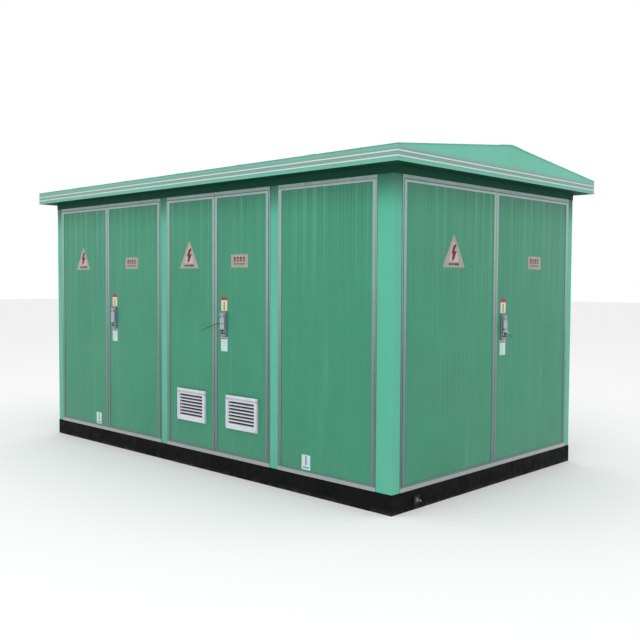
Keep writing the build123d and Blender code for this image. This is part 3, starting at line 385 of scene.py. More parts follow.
def louvre_enamel(name, color):
    """White enamel with painted shade in the recess under the border and on the upper part of each slat."""
    s = Shade(name, color, 0.4, specular=0.4)
    base = s.blend(s.span(s.noise(9.0, detail=5.0), 0.3, 0.7), scaled(color, 0.92), scaled(color, 1.05))
    out = s.math("ABSOLUTE", s.axis(1), 0.0)
    facing = s.node("ShaderNodeSeparateXYZ")
    s.link(s.node("ShaderNodeTexCoord").outputs["Normal"], facing.inputs["Vector"])
    not_side = s.span(s.math("ABSOLUTE", facing.outputs[0], 0.0), 0.3, 0.7, 1.0, 0.0)
    # painted shade on the slats' upper faces, deepest inside the louvre
    slat_shade = s.math("MULTIPLY", s.span(out, *SLAT_DEPTH, 0.9, 0.0), not_side)
    base = s.blend(slat_shade, base, SLAT_SHADE)
    # painted shade in the recess under the louvre's border
    below_edge = s.span(s.axis(2), *BORDER_EDGE, 0.35, 0.0)
    under = s.math("MULTIPLY", s.span(s.axis(2), *UNDER_BORDER), below_edge)
    base = s.blend(under, base, BORDER_SHADE)
    drips = s.span(s.noise(30.0, stretch=(1, 1, 0.06), detail=5.0, offset=3.0), 0.55, 0.8, 0.0, 0.25)
    base = s.blend(drips, base, DRIP_GREY)
    s.bump(s.noise(1500.0, detail=1.0), 0.15, 0.0001)
    return s.finish(base)


def glass(name, color, rough=0.05):
    """Dark instrument or window glass with a trace of dust."""
    s = Shade(name, color, rough, specular=0.8)
    s.bsdf.inputs["Coat Weight"].default_value = 1.0
    s.bsdf.inputs["Coat Roughness"].default_value = 0.03
    dust = s.span(s.noise(45.0, detail=5.0), 0.45, 0.8, 0.0, 0.12)
    return s.finish(s.blend(dust, color, DUST))


# ---- finishes
PANEL = (0.026, 0.242, 0.139)
POST = (0.078, 0.430, 0.290)
ROOF = (0.125, 0.480, 0.350)

M = {
    "panel": panel_paint("panel_green", PANEL),
    # painted shade under the eaves darkens the tops of the posts
    "post": paint("post_green", POST, rough=0.4, streak=0.05, dust=0.12, eaves=1.0),
    # painted shade: the header rails carry the posts' paint, darkened for the shadow under the eaves
    "header": paint("header_shaded_green", (0.006, 0.068, 0.036), rough=0.6, streak=0.0, dust=0.0, specular=0.12),
    "roof": paint("roof_green", ROOF, rough=0.42, streak=0.1, dust=0.05, dust_z=(2.2, 2.5)),
    "fascia": fascia_paint("fascia_green", (0.145, 0.440, 0.335), (0.21, 0.315, 0.285)),
    "rib": paint("rib_white", (0.54, 0.68, 0.63), rough=0.38, cloud=0.03, streak=0.0, dust=0.0),
    # painted shade: the soffit and ceiling are painted near-black green for the shadow under the eaves
    "ceiling": paint("ceiling_shaded_green", (0.004, 0.050, 0.028), rough=0.7, dust=0.0, specular=0.1),
    "base": black_enamel("base_black", (0.0035, 0.0036, 0.0038)),
    # painted highlight on the bottom bars, painted shade on the top bars and towards the ground
    "trim": metal("trim_aluminium", (0.335, 0.455, 0.44), rough=0.36, grime=0.2, sill_highlight=0.36, eaves=0.45,
                  low_shade=0.55),
    "earth": stud_metal("earth_stud"),
    "seal": plastic("seal_grey", (0.21, 0.26, 0.245), rough=0.5, dust=0.2),
    "zinc": metal("zinc_steel", (0.62, 0.61, 0.57), rough=0.34, grain=(1, 1, 1), grain_scale=120.0),
    "louvre": louvre_enamel("louvre_white", (0.62, 0.65, 0.71)),
    "lock": paint("lock_grey", (0.20, 0.225, 0.235), rough=0.4, cloud=0.06, streak=0.0, dust=0.0, peel=0.5),
    "lever": paint("lever_grey", (0.33, 0.38, 0.43), rough=0.36, cloud=0.06, streak=0.0, dust=0.0, peel=0.5),
    "inner": paint("inner_white", (0.58, 0.59, 0.56), rough=0.5, cloud=0.04, dust=0.2),
    "cubicle": paint("cubicle_grey", (0.46, 0.47, 0.45), rough=0.42, cloud=0.03, dust=0.1, peel=0.5),
    "tank": paint("tank_grey", (0.28, 0.31, 0.32), rough=0.4, cloud=0.06, dust=0.2, peel=0.4),
    "ceramic": plastic("bushing_brown", (0.13, 0.035, 0.016), rough=0.18, speck=0.2, grain=0.03),
    "copper": metal("winding_copper", (0.72, 0.36, 0.20), rough=0.35, grain=(1, 1, 40), grain_scale=20.0),
    "knob": plastic("knob_black", (0.02, 0.02, 0.022), rough=0.42, dust=0.15),
    "fan_black": paint("fan_black", (0.02, 0.02, 0.022), rough=0.45, dust=0.0),
    "fan_grey": plastic("fan_grey", (0.16, 0.17, 0.18), rough=0.45, dust=0.3),
    "floor": chequer("floor_grey", (0.30, 0.31, 0.32)),
    "silver": plastic("sign_silver", (0.33, 0.31, 0.27), rough=0.38, dust=0.1),
    "label_white": plastic("label_white", (0.52, 0.70, 0.69), rough=0.35, dust=0.1),
    "label_cream": plastic("label_cream", (0.66, 0.62, 0.50), rough=0.35, dust=0.15),
    "rubber": plastic("rubber_black", (0.018, 0.018, 0.018), rough=0.7, dust=0.25, grain=0.4),
    "tie": plastic("tie_green", (0.008, 0.035, 0.026), rough=0.35),
    "brass": metal("brass_fitting", (0.62, 0.43, 0.16), rough=0.3, grain=(1, 1, 1), grain_scale=150.0),
    "screen": mesh_screen("insect_mesh"),
    "glass": glass("dark_glass", (0.015, 0.018, 0.02)),
    "dial": plastic("dial_white", (0.75, 0.75, 0.72), rough=0.3),
}
PRINTS = {
    "sign_pink": ((0.52, 0.40, 0.38), 0.4), "sign_red": ((0.11, 0.003, 0.012), 0.45),
    "dark_print_and_shade": ((0.05, 0.035, 0.035), 0.4), "label_lilac": ((0.42, 0.42, 0.56), 0.35),
    "label_slate": ((0.17, 0.19, 0.30), 0.35), "label_red": ((0.34, 0.025, 0.035), 0.35),
    "label_orange": ((0.62, 0.30, 0.05), 0.35), "tie_pale": ((0.62, 0.64, 0.62), 0.35),
}
LAMPS = {"lamp_red": (0.45, 0.02, 0.015), "lamp_green": (0.02, 0.30, 0.05), "lamp_amber": (0.55, 0.26, 0.02)}
M.update({key: plastic(key, color, rough) for key, (color, rough) in PRINTS.items()})
M.update({key: glass(key, color, rough=0.15) for key, color in LAMPS.items()})

NODE_FINISH = {
    "base_frame": "base", "wall_posts": "post", "header_rails": "header", "ceiling_sheet": "ceiling",
    "fascia": "fascia", "fascia_ribs": "rib", "roof_covering": "roof", "gable_plates": "roof",
    "room_partitions": "inner", "opening_trims": "trim", "hinge_pins": "zinc", "earth_terminal": "earth",
    "floor_plates": "floor", "fan_housing": "fan_black", "fan_impeller": "fan_grey",
    "transformer_tank": "tank", "transformer_cover": "tank", "transformer_radiators": "tank",
    "transformer_bushings": "ceramic", "core_and_windings": "copper", "tap_changer_knob": "knob",
    "hv_switchgear": "cubicle", "lv_switchboard": "cubicle",
}
ENDINGS = (("_frame", "trim"), ("_panel", "panel"), ("_panels", "panel"), ("louvre", "louvre"),
           ("louvres", "louvre"), ("lock_housing", "lock"), ("lock_hub", "lever"), ("lock_lever", "lever"),
           ("rod_upper", "zinc"), ("rod_lower", "zinc"), ("_handle", "knob"), ("_1", "knob"), ("_2", "knob"))


def finish_of(node):
    if node in NODE_FINISH:
        return NODE_FINISH[node]
    return next(finish for ending, finish in ENDINGS if node.endswith(ending))


for name, obj in nodes.items():
    obj.data.materials.clear()
    obj.data.materials.append(M[finish_of(name)])


# ---- outlines, in x and z
def rounded(points, r, steps=4):
    """A convex outline with arcs at its corners."""
    out = []
    count = len(points)
    for i, point in enumerate(points):
        p = Vector(point)
        a = (Vector(points[i - 1]) - p).normalized()
        b = (Vector(points[(i + 1) % count]) - p).normalized()
        half = a.angle(b) / 2
        centre = p + (a + b).normalized() * r / math.sin(half)
        start, end = p + a * r / math.tan(half) - centre, p + b * r / math.tan(half) - centre
        turn = start.angle_signed(end)
        for k in range(steps + 1):
            arm = start.copy()
            arm.rotate(Matrix.Rotation(-turn * k / steps, 2))
            out.append(tuple(centre + arm))
    return out


def rect(x0, x1, z0, z1, r=0.0):
    points = [(x0, z0), (x1, z0), (x1, z1), (x0, z1)]
    return rounded(points, r) if r else points


def disc(x, z, r, count=24):
    return [(x + r * math.cos(2 * math.pi * i / count), z + r * math.sin(2 * math.pi * i / count))
            for i in range(count)]


# ---- pieces
class Piece:
    """Closed solids in a wall frame, gathered into one object that rides on a body."""

    def __init__(self, name, body, place=WORLD, slot=None):
        self.name, self.body, self.place, self.slot = name, body, place, slot
        self.bm = bmesh.new()
        self.finishes = []

    def index(self, key):
        if key not in self.finishes:
            self.finishes.append(key)
        return self.finishes.index(key)

    def prism(self, outline, y0, y1, key, edge=0.0):
        """An outline in x and z between two depths, with its outer edge eased."""
        bm, index = self.bm, self.index(key)
        outer = [bm.verts.new((x, y0, z)) for x, z in outline]
        inner = [bm.verts.new((x, y1, z)) for x, z in outline]
        faces = [bm.faces.new(outer), bm.faces.new(list(reversed(inner)))]
        count = len(outline)
        for i in range(count):
            j = (i + 1) % count
            faces.append(bm.faces.new((outer[j], outer[i], inner[i], inner[j])))
        for face in faces:
            face.material_index = index
        if edge:
            bmesh.ops.bevel(bm, geom=list(faces[0].edges), offset=edge, segments=2, profile=0.6,
                            affect="EDGES")

    def box(self, x0, x1, y0, y1, z0, z1, key, edge=0.0, r=0.0):
        self.prism(rect(x0, x1, z0, z1, r), y0, y1, key, edge)

    def lathe(self, profile, at, key, axis=(0, -1, 0), steps=20):
        """A closed turned solid: radius and height along its axis, from 0 radius to 0 radius."""
        bm, index = self.bm, self.index(key)
        axis = Vector(axis).normalized()
        side = axis.orthogonal().normalized()
        other = axis.cross(side)
        at = Vector(at)
        rings = []
        for r, h in profile:
            if r < 1e-6:
                rings.append([bm.verts.new(at + axis * h)])
                continue
            rings.append([bm.verts.new(at + axis * h + (side * math.cos(t) + other * math.sin(t)) * r)
                          for t in (2 * math.pi * i / steps for i in range(steps))])
        for low, high in zip(rings, rings[1:]):
            for i in range(steps):
                j = (i + 1) % steps
                ring = [low[i % len(low)], low[j % len(low)], high[j % len(high)], high[i % len(high)]]
                corners = list(dict.fromkeys(ring))
                face = bm.faces.new(corners)
                face.material_index = index
                face.smooth = True

    def screw(self, x, y, z, r):
        """Pan head facing out of the wall, its crossed recess drawn as a dark cross of painted shade."""
        h = r * 0.6
        head = [(0, -0.5), (r, -0.5), (r, h * 0.3), (r * 0.8, h * 0.8), (r * 0.45, h), (0, h)]
        self.lathe(head, (x, y, z), "zinc", steps=14)
        arm, wide = r * 0.6, r * 0.16
        # a dark cross stands for the shade in the recess, which is not cut
        self.box(x - arm, x + arm, y - h - 0.05, y - h + 0.3, z - wide, z + wide, "dark_print_and_shade")
        self.box(x - wide, x + wide, y - h - 0.06, y - h + 0.3, z - arm, z + arm, "dark_print_and_shade")

    def bolt(self, at, r, axis=(0, -1, 0)):
        """Hexagon head on a washer."""
        washer = [(0, 0), (r * 1.35, 0), (r * 1.35, r * 0.18), (0, r * 0.18)]
        head = [(0, r * 0.1), (r, r * 0.1), (r, r * 0.75), (r * 0.85, r * 0.85), (0, r * 0.85)]
        self.lathe(washer, at, "zinc", axis)
        self.lathe(head, at, "zinc", axis, steps=6)

    def tube(self, points, r, key):
        """Round bar through points, its corners smoothed by a spline."""
        curve = bpy.data.curves.new("path", "CURVE")
        curve.dimensions = "3D"
        spline = curve.splines.new("NURBS")
        spline.points.add(len(points) - 1)
        for knot, point in zip(spline.points, points):
            knot.co = (*point, 1)
        spline.order_u = 4 if len(points) > 3 else 3
        spline.use_endpoint_u = True
        spline.resolution_u = 8
        curve.bevel_depth = r
        curve.bevel_resolution = 2
        curve.use_fill_caps = True
        holder = bpy.data.objects.new("path", curve)
        mesh = bpy.data.meshes.new_from_object(holder)
        before = len(self.bm.faces)
        self.bm.from_mesh(mesh)
        self.bm.faces.ensure_lookup_table()
        for face in self.bm.faces[before:]:
            face.material_index = self.index(key)
            face.smooth = True
        bpy.data.objects.remove(holder)
        bpy.data.meshes.remove(mesh)

    def done(self):
        bm = self.bm
        bmesh.ops.recalc_face_normals(bm, faces=bm.faces)
        bmesh.ops.transform(bm, matrix=self.place @ Matrix.Scale(MM, 4), verts=bm.verts)
        mesh = bpy.data.meshes.new(self.name)
        bm.to_mesh(mesh)
        bm.free()
        mesh.set_sharp_from_angle(angle=math.radians(40))
        for key in self.finishes:
            mesh.materials.append(M[key])
        made = bpy.data.objects.new(self.name, mesh)
        bpy.context.scene.collection.objects.link(made)
        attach(made, self.body)


# ---- signs on the doors
SIGN_LOW = 1641.0
SIGN_T = 1.2
SIGN_SIZE = {"lv": (248, 222), "tr": (258, 232), "hv": (276, 236)}     # width and height
SIGN_BORDER = 42.0  # silver left above and below the pink field
SIGN_FIELD = 62.0  # half the width of the field
PLATE_LOW, PLATE_WIDE, PLATE_HIGH = 1643.0, 198.0, 102.0
STICKER_UPPER = (1303, 1416)  # lower and upper edge
STICKER_LOWER = (984, 1096)
FOOT_LABEL = (184.0, 292.0)
PRINT_T = 0.25  # paper labels


def hazard_sign(name, body, place, x, wide, high):
    """Silver triangle with a pink field, a plain broken flash and a bar."""
    piece = Piece(name, body, place)
    half, top = wide / 2, SIGN_LOW + high
    face = SKIN - SIGN_T
    low, tip = SIGN_LOW + SIGN_BORDER, top - SIGN_BORDER
    triangle = rounded([(x - half, SIGN_LOW), (x + half, SIGN_LOW), (x, top)], 7)
    field = rounded([(x - SIGN_FIELD, low), (x + SIGN_FIELD, low), (x, tip)], 8)
    piece.prism(triangle, face, SKIN, "silver", 0.3)
    piece.prism(field, face - 0.15, face + 0.1, "sign_pink")
    upper = [(-4, 118), (30, 122), (4, 66), (-32, 56)]
    middle = [(-20, 74), (34, 74), (2, 22), (-18, 26)]
    point = [(-26, 34), (12, 26), (-20, 2)]
    for stroke, out, back in ((upper, 0.3, 0.05), (middle, 0.45, 0.1), (point, 0.6, 0.2)):
        piece.prism([(x + dx, low + dz) for dx, dz in stroke], face - out, face - back, "sign_red")
    for start, length in ((-62, 30), (-26, 24), (4, 58)):
        piece.box(x + start, x + start + length, face - 0.15, face + 0.1, SIGN_LOW + 16, SIGN_LOW + 31,
                  "dark_print_and_shade", r=2)
    piece.done()


def name_plate(name, body, place, x):
    """Silver plate with a row of plain red blocks over a thin dark line."""
    piece = Piece(name, body, place)
    face = SKIN - SIGN_T
    z0, half = PLATE_LOW, PLATE_WIDE / 2
    piece.box(x - half, x + half, face, SKIN, z0, z0 + PLATE_HIGH, "silver", 0.3, r=4)
    for i in range(4):
        start = x - 66 + i * 35
        piece.box(start, start + 22, face - 0.15, face + 0.1, z0 + 46, z0 + 82, "sign_red", r=3)
        piece.box(start + 6, start + 16, face - 0.3, face, z0 + 56, z0 + 62 + 4 * (i % 2), "sign_pink", r=2)
    for i in range(6):
        start = x - 68 + i * 23
        piece.box(start, start + 18, face - 0.15, face + 0.1, z0 + 24, z0 + 32, "dark_print_and_shade", r=1.5)
    piece.done()


def lock_stickers(room, place, x):
    """Two paper labels, one above and one below the lock, with plain marks."""
    body = f"{room}_door_right"
    face = SKIN - PRINT_T
    upper = Piece(f"{room}_lock_label_upper", body, place)
    low, high = STICKER_UPPER
    upper.box(x - 36, x + 36, face, SKIN, low, high, "label_cream", r=3)
    upper.box(x - 36, x + 36, face - 0.1, face + 0.1, high - 30, high, "label_red", r=3)
    for z, key, half in ((1366, "dark_print_and_shade", 8), (1345, "label_orange", 13), (1322, "label_orange", 13)):
        upper.prism(disc(x, z, half), face - 0.1, face + 0.1, key)
        upper.prism(disc(x, z, half * 0.45), face - 0.2, face, "dark_print_and_shade")
    upper.done()
    lower = Piece(f"{room}_lock_label_lower", body, place)
    lower.box(x - 39, x + 39, face, SKIN, *STICKER_LOWER, "label_white", r=3)
    for i in range(4):
        lower.box(x - 35 + i * 18, x - 22 + i * 18, face - 0.1, face + 0.1, 1077, 1092, "label_red", r=2)
    for i, z in enumerate((1056, 1040, 1024, 1008, 994)):
        lower.box(x - 30, x + 30 - 6 * i, face - 0.1, face + 0.1, z, z + 5, "label_lilac", r=1.5)
    lower.done()


def foot_label(name, body, place, x):
    """Tall pale label near the foot of a panel."""
    piece = Piece(name, body, place)
    face = SKIN - PRINT_T
    z0, z1 = FOOT_LABEL
    piece.box(x - 43, x + 43, face, SKIN, z0, z1, "label_white", r=4)
    piece.box(x - 7, x + 7, face - 0.1, face + 0.1, z0 + 34, z1 - 8, "label_slate", r=3)
    for dx in (-20, 0, 20):
        piece.box(x + dx - 7, x + dx + 7, face - 0.1, face + 0.1, z0 + 12, z0 + 22, "dark_print_and_shade", r=2)
    piece.done()


# ---- locks
BOSS_PROUD = 3.0  # key boss beyond the face of the lock housing
KEY_DROP = 155.0  # key cylinder below the housing's upper end
TIE_LOOP_R = 1.4


def lock_dress(room, place):
    """Gasket, screws and cylinder ring of a rod lock, with dark lines round the lever that are partly its
    slot and button and partly painted shadow, all on the leaf. Gives the lock's x.
    """
    low, high = mm_box(f"{room}_lock_housing", place)
    x = (low.x + high.x) / 2
    front = low.y + BOSS_PROUD
    leaf = Piece(f"{room}_lock_gasket", f"{room}_door_right", place)
    margin = 2.0
    leaf.box(low.x - margin, high.x + margin, SKIN - 1.5, SKIN, low.z - margin, high.z + margin, "rubber",
             0.5, r=12)
    for z in (low.z + 12, high.z - 9):
        leaf.screw(x, front, z, 4.0)
    boss = (x, front, high.z - KEY_DROP)
    leaf.lathe([(0, 0), (15, 0), (15, 1.8), (13.5, 2.6), (0, 2.6)], boss, "zinc")
    leaf.lathe([(0, 2.0), (12, 2.0), (12, 4.4), (9, 5.4), (0, 5.4)], boss, "rubber")
    # dark lines round the lever: partly a slot and a black button, partly painted shadow along the lever's
    # edges
    line = (front - 0.6, front + 0.2)
    leaf.box(x - 27, x + 27, *line, low.z + 22, low.z + 34, "rubber", r=3)
    leaf.box(x - 27, x + 27, *line, high.z - 22, high.z - 16, "rubber", r=2)
    for dx in (-28, 28):
        leaf.box(x + dx - 1.6, x + dx + 1.6, *line, low.z + 42, high.z - 26, "rubber", r=1.4)
    leaf.done()
    return x


def key_tie(room, place, points, r, pale_to=0):
    """Plastic tie round a lever: a thin loop, a bead, and a tail whose first points may be pale."""
    low, high = mm_box(f"{room}_lock_lever", place)
    piece = Piece(f"{room}_key_tie", f"{room}_lock_lever", place)
    z = points[0][2]
    left, right = low.x - TIE_LOOP_R, high.x + TIE_LOOP_R
    mid_y = (low.y + high.y) / 2
    y_out = low.y - TIE_LOOP_R - 0.3
    y_in = (high.y + mm_box(f"{room}_lock_housing", place)[0].y + BOSS_PROUD) / 2
    loop = [(left, mid_y, z), (left, y_out, z), (right, y_out, z), (right, mid_y, z),
            (right - 4, y_in, z), (low.x + 4, y_in, z), (left, mid_y, z)]
    piece.tube(loop, TIE_LOOP_R, "tie")
    if pale_to:
        piece.tube(points[:pale_to + 1], r, "tie_pale")
    piece.tube(points[pale_to:], r, "tie")
    x0, y0, z0 = points[0]
    piece.box(x0 - 4, x0 + 4, y0 - 3, y0 + 4, z0 - 5, z0 + 5, "tie", 0.5, r=1.5)
    piece.done()


def middle_x(node, place):
    low, high = mm_box(node, place)
    return (low.x + high.x) / 2


SIGN_NUDGE = {"front": -16.0, "end": 14.0}      # signs beside the middle of their leaf
for room, wall in ROOM_WALL.items():
    place, nudge = WALLS[wall], SIGN_NUDGE[wall]
    sign_x = middle_x(f"{room}_door_left_frame", place) + nudge
    plate_x = middle_x(f"{room}_door_right_frame", place) + nudge
    hazard_sign(f"{room}_hazard_sign", f"{room}_door_left", place, sign_x, *SIGN_SIZE[room])
    name_plate(f"{room}_name_plate", f"{room}_door_right", place, plate_x)
    lock_stickers(room, place, lock_dress(room, place))

LV_LABEL_X, HV_LABEL_X = -1396.0, 1363.0
foot_label("lv_foot_label", "lv_door_left", WALLS["front"], LV_LABEL_X)
foot_label("hv_foot_label", "root", WALLS["front"], HV_LABEL_X)

lever = mm_box("tr_lock_lever", WALLS["front"])[0]
tail = ((-3, 2, 1203), (-30, -10, 1200), (-95, -16, 1178), (-150, -16, 1160), (-205, -10, 1144))
key_tie("tr", WALLS["front"], [(lever.x + dx, lever.y + dy, z) for dx, dy, z in tail], 2.4)
lever, lever_high = mm_box("hv_lock_lever", WALLS["end"])
key_tie("hv", WALLS["end"],
        [(lever.x - 3, lever.y - 3, 1183), (lever.x + 22, lever.y - 9, 1174),
         (lever_high.x + 4, lever.y - 12, 1150), (lever_high.x + 30, lever.y - 8, 1134),
         (lever_high.x + 50, lever.y - 4, 1119)], 2.2, 2)


# ---- louvres
LOUVRE_HALF = 182.5  # half its width
LOUVRE_PROUD = 20.0
MESH_HALF = 149.5


def louvre_dress(name, body, place, x):
    """Screws through the border, and insect mesh behind the slots."""
    low, high = mm_box("tr_door_left_louvre", WALLS["front"])
    z0, z1 = low.z, high.z
    piece = Piece(f"{name}_dress", body, place)
    for dx in (-LOUVRE_HALF + 10, LOUVRE_HALF - 10):
        for z in (z0 + 12, (z0 + z1) / 2, z1 - 12):
            piece.screw(x + dx, SKIN - LOUVRE_PROUD, z, 4.5)
    piece.box(x - MESH_HALF, x + MESH_HALF, SKIN + 12, SKIN + 12.6, z0 + 35, z1 - 47, "screen")
    piece.done()


for side in ("left", "right"):
    louvre = f"tr_door_{side}_louvre"
    louvre_dress(louvre, f"tr_door_{side}", WALLS["front"], middle_x(louvre, WALLS["front"]))
low, high = mm_box("rear_louvres", WALLS["rear"])
for side, x in (("left", low.x + LOUVRE_HALF), ("right", high.x - LOUVRE_HALF)):
    louvre_dress(f"rear_louvre_{side}", "root", WALLS["rear"], x)


# ---- door seals
GAP_SIDE, GAP_LEVEL = 5.0, 6.0  # round a pair of leaves
SIDE_SEAL, LEVEL_SEAL = 2.3, 5.2  # width of the strips in those gaps


def seals(room, place):
    """Grey strips that close the gaps round a pair of leaves, clear of the leaves' swing."""
    left_low, left_high = mm_box(f"{room}_door_left_frame", place)
    right_low, right_high = mm_box(f"{room}_door_right_frame", place)
    round_it = Piece(f"{room}_opening_seal", "root", place)
    x0, x1 = left_low.x - GAP_SIDE, right_high.x + GAP_SIDE
    z0, z1 = left_low.z - GAP_LEVEL, left_high.z + GAP_LEVEL
    for a, b in ((x0, x0 + SIDE_SEAL), (x1 - SIDE_SEAL, x1)):
        round_it.box(a, b, -3.6, -1.6, z0, z1, "seal")
    round_it.box(x0, x1, -3.4, 3, z1 - LEVEL_SEAL, z1, "seal")
    round_it.box(x0, x1, -3.4, 3, z0, z0 + LEVEL_SEAL, "seal")
    round_it.done()
    meeting = Piece(f"{room}_meeting_seal", f"{room}_door_right", place)
    meeting.box(right_low.x - 4.6, right_low.x + 0.2, -5, 4, left_low.z + 2, left_high.z - 2, "seal", 0.8)
    meeting.done()


for room, wall in ROOM_WALL.items():
    seals(room, WALLS[wall])


# ---- door backs
STIFFENER_LEVELS = (760.0, 1640.0)


def door_back(room, side, place):
    """Two pressed stiffeners across the inner face of a leaf."""
    leaf = f"{room}_door_{side}"
    low, high = mm_box(f"{leaf}_frame", place)
    piece = Piece(f"{leaf}_stiffeners", leaf, place)
    inner = INNER - 3
    rivet = [(0, 1.0), (4.5, 1.0), (4.0, 2.6), (0, 3.4)]
    for z in STIFFENER_LEVELS:
        piece.box(low.x + 32, high.x - 32, inner, inner + 1.2, z - 42, z + 42, "panel")
        piece.box(low.x + 34, high.x - 34, inner + 1.0, inner + 7.0, z - 22, z + 22, "panel", r=3)
        for x in (low.x + 60, (low.x + high.x) / 2 + 60, high.x - 60):
            for dz in (-32, 32):
                piece.lathe(rivet, (x, inner, z + dz), "zinc", (0, 1, 0), 12)
    piece.done()


for room, wall in ROOM_WALL.items():
    for side in ("left", "right"):
        door_back(room, side, WALLS[wall])

pocket = Piece("lv_document_pocket", "lv_door_left", WALLS["front"])
pocket.box(-1790, -1480, INNER - 3, INNER + 22, 1180, 1400, "cubicle", r=8)
pocket.box(-1780, -1490, INNER + 3, INNER + 16, 1399, 1404, "rubber")
pocket.done()

# ---- roof fixings
SHEET_T, STRAP_T = 3.0, 3.0
SCREW_PITCH, SCREW_COUNT = 300.0, 15
CAP_ROW = 128.0  # screws of the ridge cap, from the ridge
EAVE_INSET = 30.0  # screws of the sheets, from the eaves
STRAP_FIRST, STRAP_PITCH = 230.0, 235.0
RIVET_PITCH, RIVET_DROP = 145.0, 22.0
roof_high = mm_box("roof_covering")[1]
eave_z = mm_box("fascia")[1].z
roof_rise = roof_high.z - SHEET_T - STRAP_T - eave_z
slope = math.atan2(roof_rise, roof_high.y)


def on_roof(y, lift):
    """Height of the roof at a distance from the ridge, and what is laid on it."""
    return eave_z + (roof_high.y - y) * math.tan(slope) + lift


fixings = Piece("roof_screws", "root")
eave_y = roof_high.y - EAVE_INSET
for sy in (-1, 1):
    normal = (0, sy * math.sin(slope), math.cos(slope))
    for i in range(SCREW_COUNT):
        x = (i - 7) * SCREW_PITCH
        shift = SCREW_PITCH / 2 if i < SCREW_COUNT - 1 else 0.0
        fixings.bolt((x, sy * CAP_ROW, on_roof(CAP_ROW, SHEET_T + STRAP_T)), 5.0, normal)
        fixings.bolt((x + shift, sy * eave_y, on_roof(eave_y, SHEET_T)), 5.0, normal)
    for i in range(5):
        x = (i - 2) * roof_high.x / 3
        for k in range(5):
            y = STRAP_FIRST + k * STRAP_PITCH
            for dx in (-20, 20):
                fixings.bolt((x + dx, sy * y, on_roof(y, SHEET_T + STRAP_T)), 5.0, normal)
fixings.done()

gables = Piece("gable_rivets", "root")
gable_x = mm_box("gable_plates")[1].x
rivet = [(0, -0.5), (4, -0.5), (3.4, 1.4), (0, 2.2)]
for sx in (-1, 1):
    for i in range(17):
        y = (i - 8) * RIVET_PITCH
        rise = (1 - abs(y) / roof_high.y) * roof_rise
        if rise > 40:
            gables.lathe(rivet, (sx * gable_x, y, eave_z + rise - RIVET_DROP), "roof", (sx, 0, 0), 12)
gables.done()

# ---- welds of the base
welds = Piece("base_welds", "root")
for sx in (-1, 1):
    for sy in (-1, 1):
        edge_x, edge_y = sx * HALF_L / MM, sy * HALF_W / MM
        points = [(edge_x - sx * 2 * (i % 2), edge_y - sy * 8 - sy * 0.6 * (i % 2), 6 + i * 8)
                  for i in range(17)]
        welds.tube(points, 1.8, "base")
welds.done()


# ---- inside the rooms
def meter(piece, x, y, z, size, needle):
    """Square panel meter with a glass window over a white dial."""
    half = size / 2
    piece.box(x - half, x + half, y - 9, y, z - half, z + half, "knob", 1.5, r=4)
    piece.box(x - half + 7, x + half - 7, y - 9.6, y - 8.8, z - half + 16, z + half - 7, "dial", r=3)
    foot = Vector((x, z - half + 18))

    def ray(angle, start, end, half_a, half_b, out, key):
        way = Vector((math.cos(angle), math.sin(angle)))
        across = Vector((-way.y, way.x))
        a, b = foot + way * start, foot + way * end
        corners = (a + across * half_a, a - across * half_a, b - across * half_b, b + across * half_b)
        piece.prism([tuple(corner) for corner in corners], y - out, y - 9.4, key)

    ray(needle, 0.0, size * 0.5, 0.9, 0.27, 10.0, "sign_red")
    for k in range(9):
        ray(math.radians(35 + k * 13.75), size * 0.52, size * 0.60, 0.5, 0.5, 9.9, "dark_print_and_shade")
    piece.prism(disc(x, z - half + 13, 7), y - 10, y - 8, "knob")


def indicator(piece, x, y, z, key):
    """Pilot lamp in a chromed ring."""
    piece.lathe([(0, -1), (15, -1), (15, 3), (12.5, 5), (0, 5)], (x, y, z), "zinc")
    piece.lathe([(0, 4), (11, 4), (10, 9), (6, 12), (0, 13)], (x, y, z), key)


def slot_rows(piece, x0, x1, y, z, rows):
    """Ventilation slots pressed into a sheet: a dark strip of painted shade for each opening, under a raised
    lip.
    """
    for i in range(rows):
        level = z + i * 14
        # the opening itself: a dark strip of painted shade
        piece.box(x0, x1, y - 0.4, y + 0.2, level, level + 5, "dark_print_and_shade", r=2.4)
        piece.box(x0, x1, y - 3.0, y + 0.2, level + 4.6, level + 7.6, "cubicle", 0.8, r=1.4)


MAIN_METER_Z, MAIN_LAMP_Z, FEEDER_METER_Z, FEEDER_LAMP_Z, FEEDER_LABEL_Z = 1745, 1610, 1640, 1420, 1200
MAIN_X, MAIN_PITCH = -500, 150  # first main instrument from the board's middle
FEEDER_X = (224, 476)
SLOT_LEVELS = (260, 780)
QUARTER_TURNS = (300, 850, 1120, 1800)  # levels of the door fasteners
board_low, board_high = mm_box("lv_switchboard")
board = Piece("lv_board_dress", "root")
face = board_low.y
mid = (board_low.x + board_high.x) / 2
for k in range(3):
    meter(board, mid + MAIN_X + MAIN_PITCH * k, face, MAIN_METER_Z, 96, 1.9 - 0.3 * k)
for k, key in enumerate(("lamp_amber", "lamp_green", "lamp_red")):
    indicator(board, mid + MAIN_X + MAIN_PITCH * k, face, MAIN_LAMP_Z, key)
for x in (mid + dx for dx in FEEDER_X):
    for k, key in enumerate(("lamp_green", "lamp_red")):
        indicator(board, x - 30 + 60 * k, face, FEEDER_LAMP_Z, key)
    meter(board, x, face, FEEDER_METER_Z, 72, 1.7)
    z = FEEDER_LABEL_Z
    board.box(x - 60, x + 60, face - 0.8, face, z, z + 25, "dial", 0.2, r=3)
    board.box(x - 48, x + 30, face - 1.0, face - 0.7, z + 9, z + 15, "dark_print_and_shade", r=2)
board.box(mid - 440, mid - 260, face - 6, face, 1240, 1480, "knob", 1.5, r=8)
board.box(mid - 415, mid - 285, face - 7.5, face - 5.5, 1330, 1455, "glass", 0.5, r=5)
